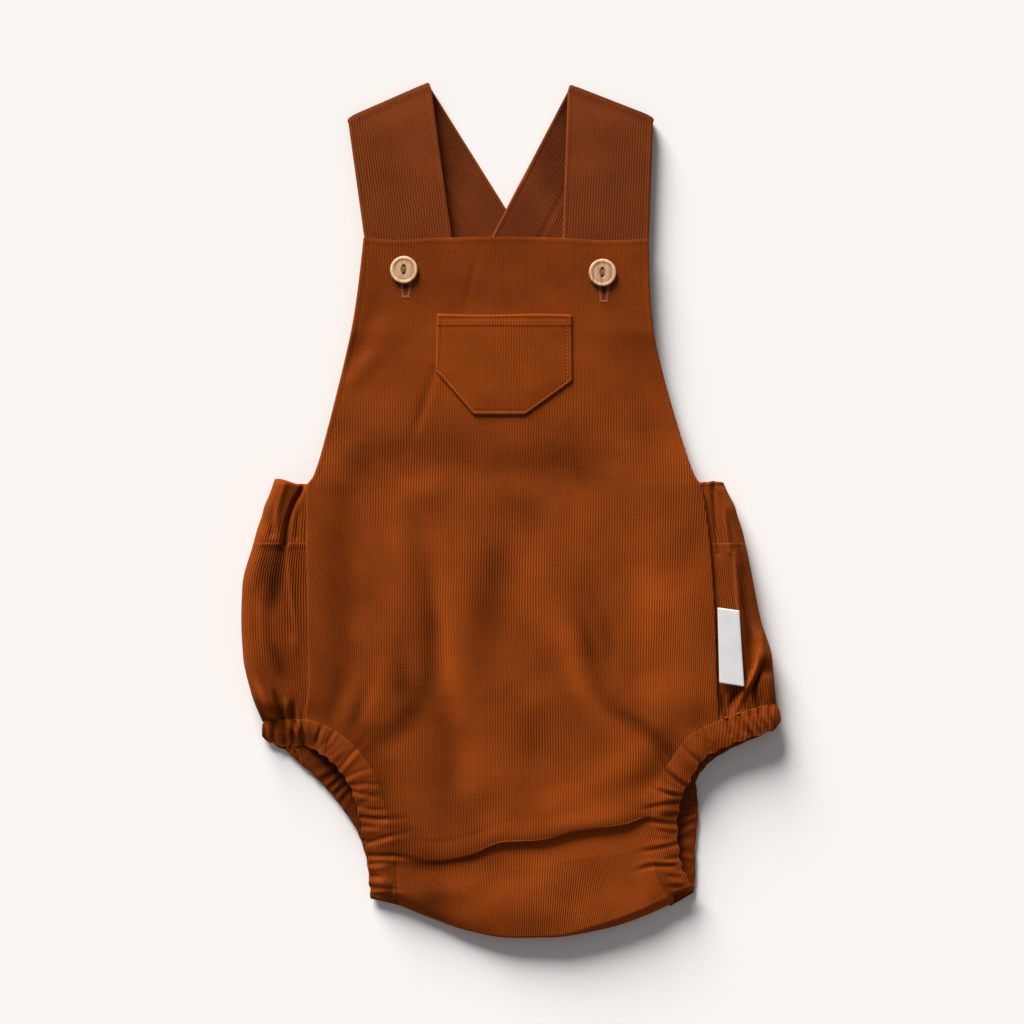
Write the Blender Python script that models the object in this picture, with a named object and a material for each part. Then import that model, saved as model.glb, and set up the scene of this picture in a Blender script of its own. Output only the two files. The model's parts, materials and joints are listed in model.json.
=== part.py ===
"""A baby's bib romper in fine corduroy, laid flat on its back with its front up.

The garment lies on the plane z = 0. +Y points from the crotch to the shoulders and +X to the
right of the view from above. Sizes are in millimetres and are turned into metres as each mesh
is made. Left and right are as seen from above.

The back lies flat and wraps round both sides, where its edges come up over the front as side
strips. The front, a bib and a belly in one, lies over it and buckles into one deep fold above
the crotch. Two straps cross at the back, fold over at the shoulders and end behind the bib.
"""

import math
from collections import namedtuple
from functools import lru_cache

import bmesh
import bpy
import numpy as np

MM = 0.001

# Cloth
WALL = 1.5
GAP = 0.3
SEAM_GAP = 0.6
STRAP_THICK = 2.4
WAIST_THICK = 2.6
LABEL_THICK = 1.0

# Leg casings: a hem with elastic in it, gathered into small puffs
CASING_WIDTH = 12.4
CASING_THICK = 3.2
CASING_STEP = 4.0
CASING_SIDES = 8
CASING_ROUNDNESS = 0.7
PUFF_PITCH = 10.0
PUFF_HEIGHT = 0.8
PUFF_WIDTH = 0.5
PUFF_DRIFT = 1.4
PUFF_DRIFT_LENGTH = 17.0
PUFF_PHASES = {"left": 0.0, "right": 1.7}
STACKED_PUFF_HEIGHT = 0.4
STACKED_FROM_Y = -182.0
STACKED_TO_Y = -200.0
CASING_PULL = 11.0

# Straps
STRAP_BEND = 2.7
STRAP_FRONT_END_Y = 101.0
STRAP_BACK_END_Y = 4.0
STRAP_ROW_STEP = 9.5
CROSSING_FLAT = 11.0
CROSSING_RAMP = 14.0
CROSSING_GAP = 0.45
CLIMB_START_Y = 34.0
CLIMB_END_Y = 19.5

# Back
WAIST_BOTTOM_Y = -18.0
WAIST_ROWS = 4
LAP_UNDER_FRONT = 3.0
LEG_SEAM_Y = -113.0
WRAPPED_ROWS = 10
BACK_LEG_ROWS = (0.04, 0.1, 0.18, 0.26, 0.33, 0.42, 0.55, 0.7, 0.85, 1.0)

# Fold above the crotch: the lines that the front's rows run between
ABOVE_LIP_Y = -140.0
LEG_ROWS_Y = (-115.6, -118.8, -123.0, -128.0, -134.0, ABOVE_LIP_Y)
LIP_REACH = 14.0
THIRDS = (1.0 / 3.0, 2.0 / 3.0)
CREST_SHARE = 0.8

# Buttons
BUTTON_RADIUS = 7.5
BUTTON_THICK = 3.4
BUTTON_SIDES = 36
BUTTON_PLACES = {"button_left": (-57.1, 129.4), "button_right": (49.3, 127.9)}
THREAD_HOLE_RADIUS = 0.8
THREAD_HOLE_SPACING = 2.4
THREAD_HOLE_SIDES = 10
EYE_LENGTH = 6.0
EYE_WIDTH = 2.8
EYE_DEPTH = 0.9
EYE_SIDES = 20
Turning = namedtuple("Turning", "radius height")
BUTTON_PROFILE = (
    Turning(0.55, 0.56),
    Turning(0.70, 0.74),
    Turning(0.78, 0.96),
    Turning(0.86, 1.00),
    Turning(0.96, 0.86),
    Turning(1.00, 0.62),
    Turning(0.98, 0.28),
    Turning(0.86, 0.00),
)
BUTTON_DISH = 0.55

# How far round a point the cloth below is searched for its highest place
POCKET_SEAT_REACH = 3.0
LABEL_SEAT_REACH = 2.5

# Across the front: how far each column of points lies from the side edges, as shares of the width
FRONT_COLUMNS = (0.0, 0.015, 0.045, 0.095, 0.15, 0.21, 0.27, 0.33, 0.39, 0.445, 0.5)
BIB_ROW_STEP = 12.0
BELLY_ROW_STEP = 9.0
SIDE_SEAM_TOP_Y = 13.0
STRIP_COLUMNS = 7
BEND_COLUMNS = 5
BOTTOM_COLUMNS = 7
EDGE_FADE = 2.5

# The front. z is the top face at the left edge, in the middle and at the right edge, full is how
# square the cross section is, and floor is the lowest that the top face may lie. Below the side
# seams the leg openings cut into the edges that this table gives.
Section = namedtuple("Section", "y left right z_left z_mid z_right full floor")
FRONT_SECTIONS = (
    Section(146.0, -78.5, 73.7, 9.9, 10.0, 9.9, 2.5, 9.8),
    Section(122.0, -81.2, 74.3, 9.9, 10.0, 9.9, 2.5, 9.8),
    Section(98.0, -84.8, 76.2, 9.9, 10.2, 9.9, 2.5, 9.8),
    Section(84.0, -88.0, 79.0, 8.2, 10.4, 8.4, 2.5, 7.4),
    Section(62.0, -93.5, 84.8, 6.4, 10.6, 7.0, 2.5, 5.5),
    Section(45.0, -97.8, 89.8, 6.6, 10.8, 7.2, 2.4, 6.0),
    Section(19.0, -105.3, 98.5, 11.2, 11.8, 11.2, 2.3, 9.0),
    Section(13.0, -109.0, 102.1, 11.9, 12.2, 11.9, 2.3, 9.8),
    Section(-5.0, -109.2, 105.2, 12.0, 13.6, 12.0, 2.3, 10.0),
    Section(-26.0, -109.0, 107.4, 12.0, 15.2, 12.0, 2.4, 10.0),
    Section(-58.0, -108.6, 109.4, 12.2, 16.4, 12.2, 2.6, 10.0),
    Section(-96.0, -108.2, 110.6, 12.0, 16.6, 12.0, 2.6, 10.0),
    Section(-113.0, -110.2, 111.6, 11.7, 16.2, 11.7, 2.4, 10.0),
    Section(-140.0, -104.0, 106.0, 11.4, 15.8, 11.4, 2.6, 9.4),
    Section(-165.0, -90.0, 98.0, 10.4, 15.6, 10.4, 2.8, 8.0),
    Section(-185.0, -84.0, 96.0, 9.4, 15.2, 9.4, 2.8, 7.0),
)
FRONT_SECTIONS_ABOVE_LEGS = [row for row in FRONT_SECTIONS if row.y >= LEG_SEAM_Y]

# The lip of the fold: its crest line, how high it stands, how far it overhangs as a share of
# the full fold, and the height of the flap that comes out under it.
Lip = namedtuple("Lip", "x y crest share flap")
LIP_LINE = (
    Lip(-70.0, -178.5, 8.2, 0.05, 7.2),
    Lip(-60.0, -184.0, 10.4, 0.35, 6.8),
    Lip(-43.0, -188.5, 13.6, 0.85, 6.6),
    Lip(-23.0, -186.0, 15.2, 1.0, 6.6),
    Lip(-4.0, -178.5, 15.8, 1.0, 6.6),
    Lip(16.0, -175.5, 15.6, 1.0, 6.6),
    Lip(36.0, -171.5, 15.2, 1.0, 6.8),
    Lip(60.0, -168.0, 14.0, 0.8, 7.0),
    Lip(72.0, -165.0, 11.6, 0.4, 7.4),
    Lip(84.0, -161.0, 9.4, 0.05, 7.8),
)

# One row of points for each step round the fold: ahead is how far towards the crotch it lies
# from the crest line, and drop is its share of the way down from crest to flap, both for cloth
# that only slopes and for cloth that folds under itself.
LipRow = namedtuple("LipRow", "slope_ahead slope_drop fold_ahead fold_drop")
LIP_ROWS = (
    LipRow(-LIP_REACH, 0.00, -LIP_REACH, 0.00),
    LipRow(-10.0, 0.06, -7.0, 0.00),
    LipRow(-7.0, 0.16, -2.7, 0.08),
    LipRow(-4.0, 0.30, 0.0, 0.33),
    LipRow(-1.0, 0.46, -2.5, 0.58),
    LipRow(1.5, 0.60, -6.4, 0.66),
    LipRow(4.0, 0.73, -8.3, 0.79),
    LipRow(6.5, 0.84, -6.4, 0.92),
    LipRow(9.0, 0.92, -1.0, 0.955),
    LipRow(11.5, 0.97, 6.0, 0.98),
    LipRow(LIP_REACH, 1.00, LIP_REACH, 1.00),
)

# The crotch edges of the front and of the back, and the front's top face along its edge
Crotch = namedtuple("Crotch", "x front_y back_y z")
CROTCH_LINE = (
    Crotch(-76.0, -205.8, -204.6, 6.9),
    Crotch(-62.0, -211.2, -210.0, 6.7),
    Crotch(-42.0, -219.0, -217.8, 5.2),
    Crotch(-23.0, -225.2, -224.0, 4.4),
    Crotch(0.0, -228.6, -227.8, 4.2),
    Crotch(21.0, -228.2, -229.0, 4.2),
    Crotch(50.0, -221.0, -225.4, 4.6),
    Crotch(71.0, -213.2, -219.0, 5.6),
    Crotch(86.0, -206.6, -212.2, 6.7),
    Crotch(99.0, -201.6, -204.0, 6.9),
)

# Soft troughs (depth below 0) and ridges. Each runs along its points and fades over its width.
Crease = namedtuple("Crease", "depth width points")
FRONT_CREASES = (
    Crease(-3.6, 8.0, ((-51.7, -6), (-47, -44), (-47, -75), (-52, -103))),
    Crease(-3.0, 7.0, ((-52, -103), (-67, -118), (-80, -131))),
    Crease(2.2, 8.0, ((-44, -18), (-36, -44), (-33, -75), (-18, -110))),
    Crease(-2.8, 8.0, ((-5.6, -4), (-11.5, -44), (-13, -83))),
    Crease(2.2, 9.0, ((2, -14), (17.5, -44), (32.5, -90), (46, -101))),
    Crease(-3.4, 9.0, ((31.5, -49), (46.5, -81), (71, -113), (80, -134))),
    Crease(-2.4, 9.0, ((-94.5, -4), (-94.5, -75), (-97, -104))),
    Crease(1.8, 8.0, ((-77.5, -75), (-79, -106))),
    Crease(1.4, 12.0, ((71, -52), (72, -66))),
    Crease(-2.4, 8.0, ((-41, -113), (-36, -155))),
    Crease(-3.0, 8.0, ((10, -118), (25, -126), (10, -147))),
    Crease(1.6, 9.0, ((62, -138), (71, -146))),
    Crease(-1.6, 10.0, ((-48, 47), (0, 33), (53, 25), (85, 22))),
)

# The sides, where the back wraps round: the outer folds, the side seams, the height of the
# rolled side and the top face at the seam.
Side = namedtuple("Side", "y fold_left seam_left seam_right fold_right height z_seam")
SIDES = (
    Side(17.4, -126.6, -108.9, 101.6, 113.6, 11.4, 8.8),
    Side(0.0, -133.0, -109.2, 104.8, 121.4, 12.0, 9.7),
    Side(-18.0, -138.4, -109.1, 106.8, 126.4, 13.0, 9.9),
    Side(-40.0, -144.0, -108.9, 108.6, 130.8, 14.0, 10.0),
    Side(-58.0, -144.6, -108.6, 109.6, 134.4, 14.2, 10.0),
    Side(-78.0, -143.6, -108.3, 110.3, 140.4, 14.2, 10.0),
    Side(-97.0, -139.4, -108.4, 110.7, 142.2, 13.4, 9.4),
    Side(-114.0, -133.2, -110.4, 111.7, 144.4, 12.2, 8.6),
)
WaistTop = namedtuple("WaistTop", "x y")
WAIST_TOP = (
    WaistTop(-132.0, 12.4),
    WaistTop(-126.5, 17.2),
    WaistTop(-112.4, 13.8),
    WaistTop(-100.0, 16.4),
    WaistTop(95.0, 16.4),
    WaistTop(102.0, 14.8),
    WaistTop(114.0, 15.6),
    WaistTop(119.0, 12.0),
)
STRIP_CREASES = (
    Crease(-5.2, 3.4, ((-112.5, 13), (-119, -3), (-121.5, -19))),
    Crease(-3.2, 3.6, ((-121.5, -19), (-122, -48), (-120.5, -70))),
    Crease(1.2, 5.0, ((-114, -22), (-114, -60))),
    Crease(-2.6, 6.0, ((-132, -24), (-131, -50), (-127, -82))),
    Crease(1.2, 4.0, ((-136, -74), (-129, -98))),
    Crease(-2.4, 3.4, ((-118, -94), (-114, -110))),
    Crease(-2.2, 3.0, ((-127, 10), (-129, -16))),
    Crease(-3.6, 3.4, ((116, 11), (121.5, -20), (122.5, -42))),
    Crease(-2.6, 3.4, ((127, -56), (128, -80), (121, -104))),
    Crease(1.6, 4.0, ((131, -50), (134.5, -72), (130, -88), (122, -106))),
    Crease(-3.6, 3.4, ((137.5, -72), (134.5, -92), (131, -104))),
    Crease(-2.4, 3.0, ((114.5, -98), (117, -108))),
)

# The seam between each leg casing and the panels, round the leg opening: first along the front
# from the crotch to the outer fold, then along the back from that fold to the crotch. z is the
# casing's middle and out is the direction away from the panel, in degrees from +X.
LegPoint = namedtuple("LegPoint", "x y z out")
LEG_FRONTS = {
    "left": (
        LegPoint(-62.5, -211.0, 6.0, 159),
        LegPoint(-63.0, -199.0, 6.1, 178),
        LegPoint(-63.8, -186.0, 7.0, 181),
        LegPoint(-67.3, -166.0, 8.2, 191),
        LegPoint(-73.0, -145.0, 9.8, 205),
        LegPoint(-84.5, -127.5, 10.6, 228),
        LegPoint(-96.0, -118.5, 10.8, 246),
        LegPoint(-110.6, -113.4, 10.2, 262),
        LegPoint(-122.0, -113.5, 10.8, 269),
    ),
    "right": (
        LegPoint(86.4, -206.3, 6.0, 20),
        LegPoint(80.0, -195.0, 6.1, 12),
        LegPoint(77.6, -184.0, 7.0, -1),
        LegPoint(76.6, -166.0, 8.2, -6),
        LegPoint(79.7, -149.5, 9.6, -22),
        LegPoint(86.4, -136.0, 10.4, -38),
        LegPoint(97.0, -121.6, 10.8, -60),
        LegPoint(112.0, -113.8, 10.2, -73),
        LegPoint(126.0, -108.8, 10.8, -76),
        LegPoint(134.0, -106.4, 10.8, -80),
    ),
}
LEG_FOLDS = {"left": (-126.8, -113.6, -90), "right": (138.4, -105.4, -84)}
LEG_BACKS = {
    "left": (
        LegPoint(-122.0, -114.6, 1.6, 262),
        LegPoint(-107.0, -124.4, 1.6, 240),
        LegPoint(-91.0, -138.8, 1.6, 227),
        LegPoint(-79.0, -153.6, 1.6, 214),
        LegPoint(-69.4, -170.0, 1.6, 202),
        LegPoint(-64.2, -189.0, 1.6, 185),
        LegPoint(-62.5, -209.8, 1.6, 159),
    ),
    "right": (
        LegPoint(130.0, -108.8, 1.6, -72),
        LegPoint(111.5, -117.0, 1.6, -66),
        LegPoint(97.0, -127.0, 1.6, -46),
        LegPoint(87.6, -143.0, 1.6, -18),
        LegPoint(88.0, -163.0, 1.6, 0),
        LegPoint(86.4, -182.0, 1.6, 1),
        LegPoint(87.4, -211.6, 1.6, 30),
    ),
}

# Straps: the ends of each fold line at the shoulder, and how far each part leans sideways for
# each millimetre towards the crotch.
Strap = namedtuple("Strap", "outer inner front_lean back_lean over")
STRAPS = {
    "left": Strap((-87.6, 210.9), (-44.2, 229.7), 0.141, 0.622, False),
    "right": Strap((77.5, 211.5), (32.4, 228.6), -0.041, -0.520, True),
}

Pocket = namedtuple("Pocket", "y left right")
POCKET_ROWS = (
    Pocket(105.2, -39.0, 32.6),
    Pocket(90.0, -39.4, 32.7),
    Pocket(75.1, -39.8, 32.8),
    Pocket(70.2, -35.4, 32.9),
    Pocket(61.0, -27.3, 20.2),
    Pocket(52.0, -19.6, 7.5),
)
POCKET_COLUMNS = 8

LABEL_CORNERS = {"top": (111.0, -51.8, 121.9, -53.2), "bottom": (112.0, -91.6, 124.6, -93.4)}
LABEL_ROWS = 9
LABEL_COLUMNS = 4

CORDUROY = (0.26, 0.053, 0.006)
WOOD = (0.60, 0.38, 0.20)
RIBBON = (0.62, 0.60, 0.58)


def clear_scene():
    for item in list(bpy.data.objects):
        bpy.data.objects.remove(item, do_unlink=True)


def material(name, colour, roughness):
    made = bpy.data.materials.new(name)
    made.use_nodes = True
    shader = made.node_tree.nodes["Principled BSDF"]
    shader.inputs["Base Color"].default_value = (*colour, 1.0)
    shader.inputs["Roughness"].default_value = roughness
    shader.inputs["Metallic"].default_value = 0.0
    return made


def add_mesh(name, points, faces, finish):
    """An object from points in millimetres, at the origin, with its place in its mesh."""
    mesh = bpy.data.meshes.new(name)
    mesh.from_pydata([tuple(MM * c for c in point) for point in points], [], faces)
    mesh.materials.append(finish)
    mesh.shade_smooth()
    made = bpy.data.objects.new(name, mesh)
    bpy.context.scene.collection.objects.link(made)
    return made


def add_wall(made, thick, offset):
    """Gives a sheet its thickness: below its faces at offset -1, to both sides at offset 0."""
    wall = made.modifiers.new("wall", "SOLIDIFY")
    wall.thickness = thick * MM
    wall.offset = offset
    wall.use_even_offset = False
    return made


def grid_faces(row_count, column_count):
    """Four-sided faces over a grid of points numbered row by row, facing up where the rows
    run towards -Y and the columns towards +X."""
    faces = []
    for row in range(row_count - 1):
        for column in range(column_count - 1):
            corner = row * column_count + column
            below = corner + column_count
            faces.append((corner, below, below + 1, corner + 1))
    return faces


def sheet(name, rows, thick, finish, offset=-1.0):
    points = [point for row in rows for point in row]
    made = add_mesh(name, points, grid_faces(len(rows), len(rows[0])), finish)
    return add_wall(made, thick, offset)


def blend(start, end, share):
    return start + (end - start) * share


def ease(share):
    """0 to 1 with level ends."""
    share = min(max(share, 0.0), 1.0)
    return share * share * (3.0 - 2.0 * share)


def read(rows, key, column, at):
    """A table's column at one place of its key column, on a smooth curve with no overshoot."""
    xs = np.array([getattr(row, key) for row in rows], float)
    ys = np.array([getattr(row, column) for row in rows], float)
    if xs[0] > xs[-1]:
        xs, ys = xs[::-1], ys[::-1]
    step = np.diff(xs)
    rise = np.diff(ys) / step
    slope = np.zeros(len(xs))
    same = rise[:-1] * rise[1:] > 0
    both = np.where(same, rise[:-1] + rise[1:], 1.0)
    slope[1:-1] = np.where(same, 2 * rise[:-1] * rise[1:] / both, 0.0)
    slope[0], slope[-1] = rise[0], rise[-1]
    i = int(np.clip(np.searchsorted(xs, at) - 1, 0, len(step) - 1))
    t = float(np.clip((at - xs[i]) / step[i], 0.0, 1.0))
    low = ys[i] * (1 + 2 * t) * (1 - t) ** 2 + slope[i] * step[i] * t * (1 - t) ** 2
    high = ys[i + 1] * (3 - 2 * t) * t**2 - slope[i + 1] * step[i] * (1 - t) * t**2
    return float(low + high)


def distance_to_line(x, y, points):
    nearest = math.inf
    for (ax, ay), (bx, by) in zip(points, points[1:]):
        dx, dy = bx - ax, by - ay
        t = ((x - ax) * dx + (y - ay) * dy) / (dx * dx + dy * dy)
        t = min(max(t, 0.0), 1.0)
        nearest = min(nearest, math.hypot(x - ax - t * dx, y - ay - t * dy))
    return nearest


def creased(x, y, creases):
    total = 0.0
    for crease in creases:
        away = distance_to_line(x, y, crease.points) / crease.width
        total += crease.depth * math.exp(-away * away)
    return total


def no_lower(z, floor, softness=0.5):
    """z, eased so that it never goes under the floor."""
    return floor + softness * math.log1p(math.exp(min((z - floor) / softness, 40.0)))


# ---------------------------------------------------------------------------------- the front


def leg_edge(side, part, y):
    """The x at which the front or the back meets a leg casing, at y."""
    _, path = leg_line(side)
    outermost = int(np.argmax(np.abs(path[:, 0])))
    half = path[:outermost] if part == "front" else path[outermost + 1 :]
    half = half[half[:, 1] <= LEG_SEAM_Y]
    order = np.argsort(half[:, 1])
    return float(np.interp(y, half[order, 1], half[order, 0]))


def front_edges(y):
    """The left and right edges of the front at y."""
    if y > LEG_SEAM_Y:
        return read(FRONT_SECTIONS, "y", "left", y), read(FRONT_SECTIONS, "y", "right", y)
    last = FRONT_SECTIONS_ABOVE_LEGS[-1]
    left, right = leg_edge("left", "front", y), leg_edge("right", "front", y)
    return max(left, last.left), min(right, last.right)


def nearest_casing(x, y):
    """How far a point lies from the leg casings' seams on the front, and the seam's z there."""
    found = (math.inf, 0.0)
    for side in ("left", "right"):
        _, path = leg_line(side)
        front = path[: int(np.argmax(np.abs(path[:, 0])))]
        start, along = front[:-1], np.diff(front, axis=0)
        share = ((x - start[:, 0]) * along[:, 0] + (y - start[:, 1]) * along[:, 1]) / (
            along[:, 0] ** 2 + along[:, 1] ** 2
        )
        foot = start + along * np.clip(share, 0.0, 1.0)[:, None]
        away = np.hypot(foot[:, 0] - x, foot[:, 1] - y)
        nearest = int(np.argmin(away))
        found = min(found, (float(away[nearest]), float(foot[nearest, 2])))
    return found


def front_height(x, y):
    """The front's top face, above the fold."""
    left = read(FRONT_SECTIONS, "y", "left", y)
    right = read(FRONT_SECTIONS, "y", "right", y)
    across = min(max((x - left) / (right - left), 0.0), 1.0)
    sides = blend(
        read(FRONT_SECTIONS, "y", "z_left", y), read(FRONT_SECTIONS, "y", "z_right", y), across
    )
    middle = read(FRONT_SECTIONS, "y", "z_mid", y)
    full = 1.0 - abs(2.0 * across - 1.0) ** read(FRONT_SECTIONS, "y", "full", y)
    height = blend(sides, middle, full) + creased(x, y, FRONT_CREASES) * ease(full * EDGE_FADE)
    away, seam_z = nearest_casing(x, y)
    pull = math.exp(-((away / CASING_PULL) ** 2))
    height = blend(height, seam_z + WALL / 2.0, pull)
    return no_lower(height, blend(read(FRONT_SECTIONS, "y", "floor", y), 0.0, pull))


def row_ends(y_at):
    """The x of a slanting row's left and right ends, where y_at gives the row's y at any x."""
    ends = []
    for side in (0, 1):
        x = front_edges(y_at(0.0))[side]
        for _ in range(12):
            x = front_edges(y_at(x))[side]
        ends.append(x)
    return ends


def front_row(y_at, z_at):
    left, right = row_ends(y_at)
    shares = FRONT_COLUMNS + tuple(1.0 - share for share in FRONT_COLUMNS[-2::-1])
    xs = [blend(left, right, share) for share in shares]
    return [(x, y_at(x), z_at(x)) for x in xs]


def lip_y(x):
    return read(LIP_LINE, "x", "y", x)


def flat_rows(top, bottom, step):
    """Evenly spaced heights from top to bottom, both included."""
    count = max(1, round((top - bottom) / step))
    return [blend(top, bottom, k / count) for k in range(count + 1)]


def slope_row(share):
    """A row of the belly's slope down towards the fold, this share of the way."""
    def y_at(x):
        return blend(ABOVE_LIP_Y, lip_y(x) + LIP_REACH, share)

    def z_at(x):
        crest = read(LIP_LINE, "x", "crest", x)
        return blend(front_height(x, y_at(x)), crest, ease(share * CREST_SHARE))

    return front_row(y_at, z_at)


def lip_row(row):
    """A row of the fold's own lip, which overhangs more or less along its length."""
    def y_at(x):
        folded = read(LIP_LINE, "x", "share", x)
        return lip_y(x) - blend(row.slope_ahead, row.fold_ahead, folded)

    def z_at(x):
        folded = read(LIP_LINE, "x", "share", x)
        crest, flap = read(LIP_LINE, "x", "crest", x), read(LIP_LINE, "x", "flap", x)
        return blend(crest, flap, blend(row.slope_drop, row.fold_drop, folded))

    return front_row(y_at, z_at)


def flap_row(share):
    """A row of the flap that comes out under the fold, this share of the way to the crotch."""
    def y_at(x):
        return blend(lip_y(x) - LIP_REACH, read(CROTCH_LINE, "x", "front_y", x), share)

    def z_at(x):
        edge = read(CROTCH_LINE, "x", "z", x)
        return blend(read(LIP_LINE, "x", "flap", x), edge, ease(share))

    return front_row(y_at, z_at)


def level_row(y):
    return front_row(lambda x: y, lambda x: front_height(x, y))


def front_rows():
    """The front's rows of points, from the bib's top edge to the crotch."""
    bib = flat_rows(FRONT_SECTIONS[0].y, SIDE_SEAM_TOP_Y, BIB_ROW_STEP)
    belly = flat_rows(SIDE_SEAM_TOP_Y, LEG_SEAM_Y, BELLY_ROW_STEP)[1:]
    rows = [level_row(y) for y in bib + belly + list(LEG_ROWS_Y)]
    rows += [slope_row(share) for share in THIRDS]
    rows += [lip_row(row) for row in LIP_ROWS]
    rows += [flap_row(share) for share in THIRDS + (1.0,)]
    return rows


# ----------------------------------------------------------------------------------- the back


def strip_height(side, x, y):
    """The top face of a side strip, between its seam and its outer fold."""
    height = read(SIDES, "y", "height", y)
    seam, fold = read(SIDES, "y", "seam_" + side, y), read(SIDES, "y", "fold_" + side, y)
    inward = math.copysign(height / 2.0, -fold)
    across = (x - seam) / (fold + inward - seam)
    base = blend(read(SIDES, "y", "z_seam", y), height, ease(across))
    taper = ease(across * 3.0 + 0.15) * ease((1.15 - across) * 2.5)
    return base + creased(x, y, STRIP_CREASES) * taper


def wrapped_column(side, k, y):
    """Point k of a wrapped side at y: over the strip from its seam, then round its fold."""
    height = read(SIDES, "y", "height", y)
    seam, fold = read(SIDES, "y", "seam_" + side, y), read(SIDES, "y", "fold_" + side, y)
    sign = math.copysign(1.0, fold)
    radius = height / 2.0
    turn_x = fold - sign * radius
    if k < STRIP_COLUMNS:
        x = blend(seam - sign * LAP_UNDER_FRONT, turn_x, k / STRIP_COLUMNS)
        return x, strip_height(side, x, y)
    angle = math.pi * (k - STRIP_COLUMNS) / BEND_COLUMNS
    top = strip_height(side, turn_x, y)
    middle = blend(top, 0.0, (1.0 - math.cos(angle)) / 2.0)
    return turn_x + sign * radius * math.sin(angle), middle


def back_section(y_at):
    """A row of points right round the back: left strip, left fold, underside, right fold and
    right strip. y_at gives the row's y at any x."""
    last = STRIP_COLUMNS + BEND_COLUMNS
    sides = {}
    for side in ("left", "right"):
        points = []
        for k in range(last + 1):
            y = y_at(read(SIDES, "y", "fold_" + side, y_at(0.0)))
            for _ in range(3):
                y = y_at(wrapped_column(side, k, y)[0])
            x, z = wrapped_column(side, k, y)
            points.append((x, y, z))
        sides[side] = points
    (left_x, left_y, _), (right_x, right_y, _) = sides["left"][last], sides["right"][last]
    underside = []
    for k in range(1, BOTTOM_COLUMNS):
        x = blend(left_x, right_x, k / BOTTOM_COLUMNS)
        underside.append((x, y_at(x), 0.0))
    return sides["left"] + underside + sides["right"][::-1]


def strip_end_y(x):
    """The leg seam across the side strips and under the back."""
    right_rows = LEG_FRONTS["right"][-3:]
    if x < right_rows[0].x:
        return LEG_SEAM_Y
    fold_x, fold_y, _ = LEG_FOLDS["right"]
    share = (x - right_rows[0].x) / (fold_x - right_rows[0].x)
    return blend(LEG_SEAM_Y, fold_y, min(share, 1.2)) + GAP


def back_panel(finish):
    """The back: a sheet that wraps round both sides above the leg seams, and one flat layer
    below them."""
    top = WAIST_BOTTOM_Y - SEAM_GAP
    wrapped = []
    for k in range(WRAPPED_ROWS + 1):
        share = k / WRAPPED_ROWS
        wrapped.append(back_section(lambda x, s=share: blend(top, strip_end_y(x), s)))
    width = len(wrapped[0])
    points = [point for row in wrapped for point in row]
    faces = grid_faces(len(wrapped), width)
    first_bottom = STRIP_COLUMNS + BEND_COLUMNS
    bottom_width = width - 2 * first_bottom
    above = [(len(wrapped) - 1) * width + first_bottom + k for k in range(bottom_width)]
    start_left, start_right = LEG_BACKS["left"][0].y, LEG_BACKS["right"][0].y
    for share in BACK_LEG_ROWS:
        left_y = blend(start_left, LEG_BACKS["left"][-1].y, share)
        right_y = blend(start_right, LEG_BACKS["right"][-1].y, share)
        left, right = leg_edge("left", "back", left_y), leg_edge("right", "back", right_y)
        row = []
        for k in range(bottom_width):
            across = k / (bottom_width - 1)
            x = blend(left, right, across)
            bulge = read(CROTCH_LINE, "x", "back_y", x) - blend(
                LEG_BACKS["left"][-1].y, LEG_BACKS["right"][-1].y, across
            )
            row.append((x, blend(left_y, right_y, across) + bulge * share**2, 0.0))
        numbers = list(range(len(points), len(points) + bottom_width))
        points += row
        for k in range(bottom_width - 1):
            faces.append((above[k], numbers[k], numbers[k + 1], above[k + 1]))
        above = numbers
    made = add_mesh("back_panel", points, [face[::-1] for face in faces], finish)
    face_outwards(made)
    return add_wall(made, WALL, -1.0)


def face_outwards(made):
    """Turns a wrapped sheet so that its underside faces down and its strips face up."""
    mesh = bmesh.new()
    mesh.from_mesh(made.data)
    mesh.normal_update()
    lowest = min(mesh.faces, key=lambda face: face.calc_center_median().z)
    if lowest.normal.z > 0:
        bmesh.ops.reverse_faces(mesh, faces=mesh.faces)
    mesh.to_mesh(made.data)
    mesh.free()


def back_waist_casing(finish):
    rows = []
    for k in range(WAIST_ROWS + 1):
        share = k / WAIST_ROWS
        rows.append(
            back_section(
                lambda x, s=share: blend(read(WAIST_TOP, "x", "y", x), WAIST_BOTTOM_Y, s)
            )
        )
    points = [point for row in rows for point in row]
    made = add_mesh("back_waist_casing", points, grid_faces(len(rows), len(rows[0])), finish)
    face_outwards(made)
    return add_wall(made, WAIST_THICK, -1.0)


# --------------------------------------------------------------------------- the leg casings


def leg_path(side):
    """Points along a leg seam, round its outer fold: x, y, z and the outward direction."""
    fold_x, fold_y, fold_out = LEG_FOLDS[side]
    sign = math.copysign(1.0, fold_x)
    top, bottom = LEG_FRONTS[side][-1].z, LEG_BACKS[side][0].z
    radius = (top - bottom) / 2.0
    turn = [
        LegPoint(
            fold_x + sign * radius * math.sin(angle),
            fold_y,
            (top + bottom) / 2.0 + radius * math.cos(angle),
            fold_out,
        )
        for angle in (0.0, math.pi / 4, math.pi / 2, 3 * math.pi / 4, math.pi)
    ]
    fronts = [point._replace(out=signed(point.out)) for point in LEG_FRONTS[side]]
    backs = [point._replace(out=signed(point.out)) for point in LEG_BACKS[side]]
    return fronts + turn + backs


def signed(degrees):
    """The same direction between -270 and 90 degrees, so that a leg's directions run on."""
    return degrees - 360.0 if degrees > 90.0 else float(degrees)


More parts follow.
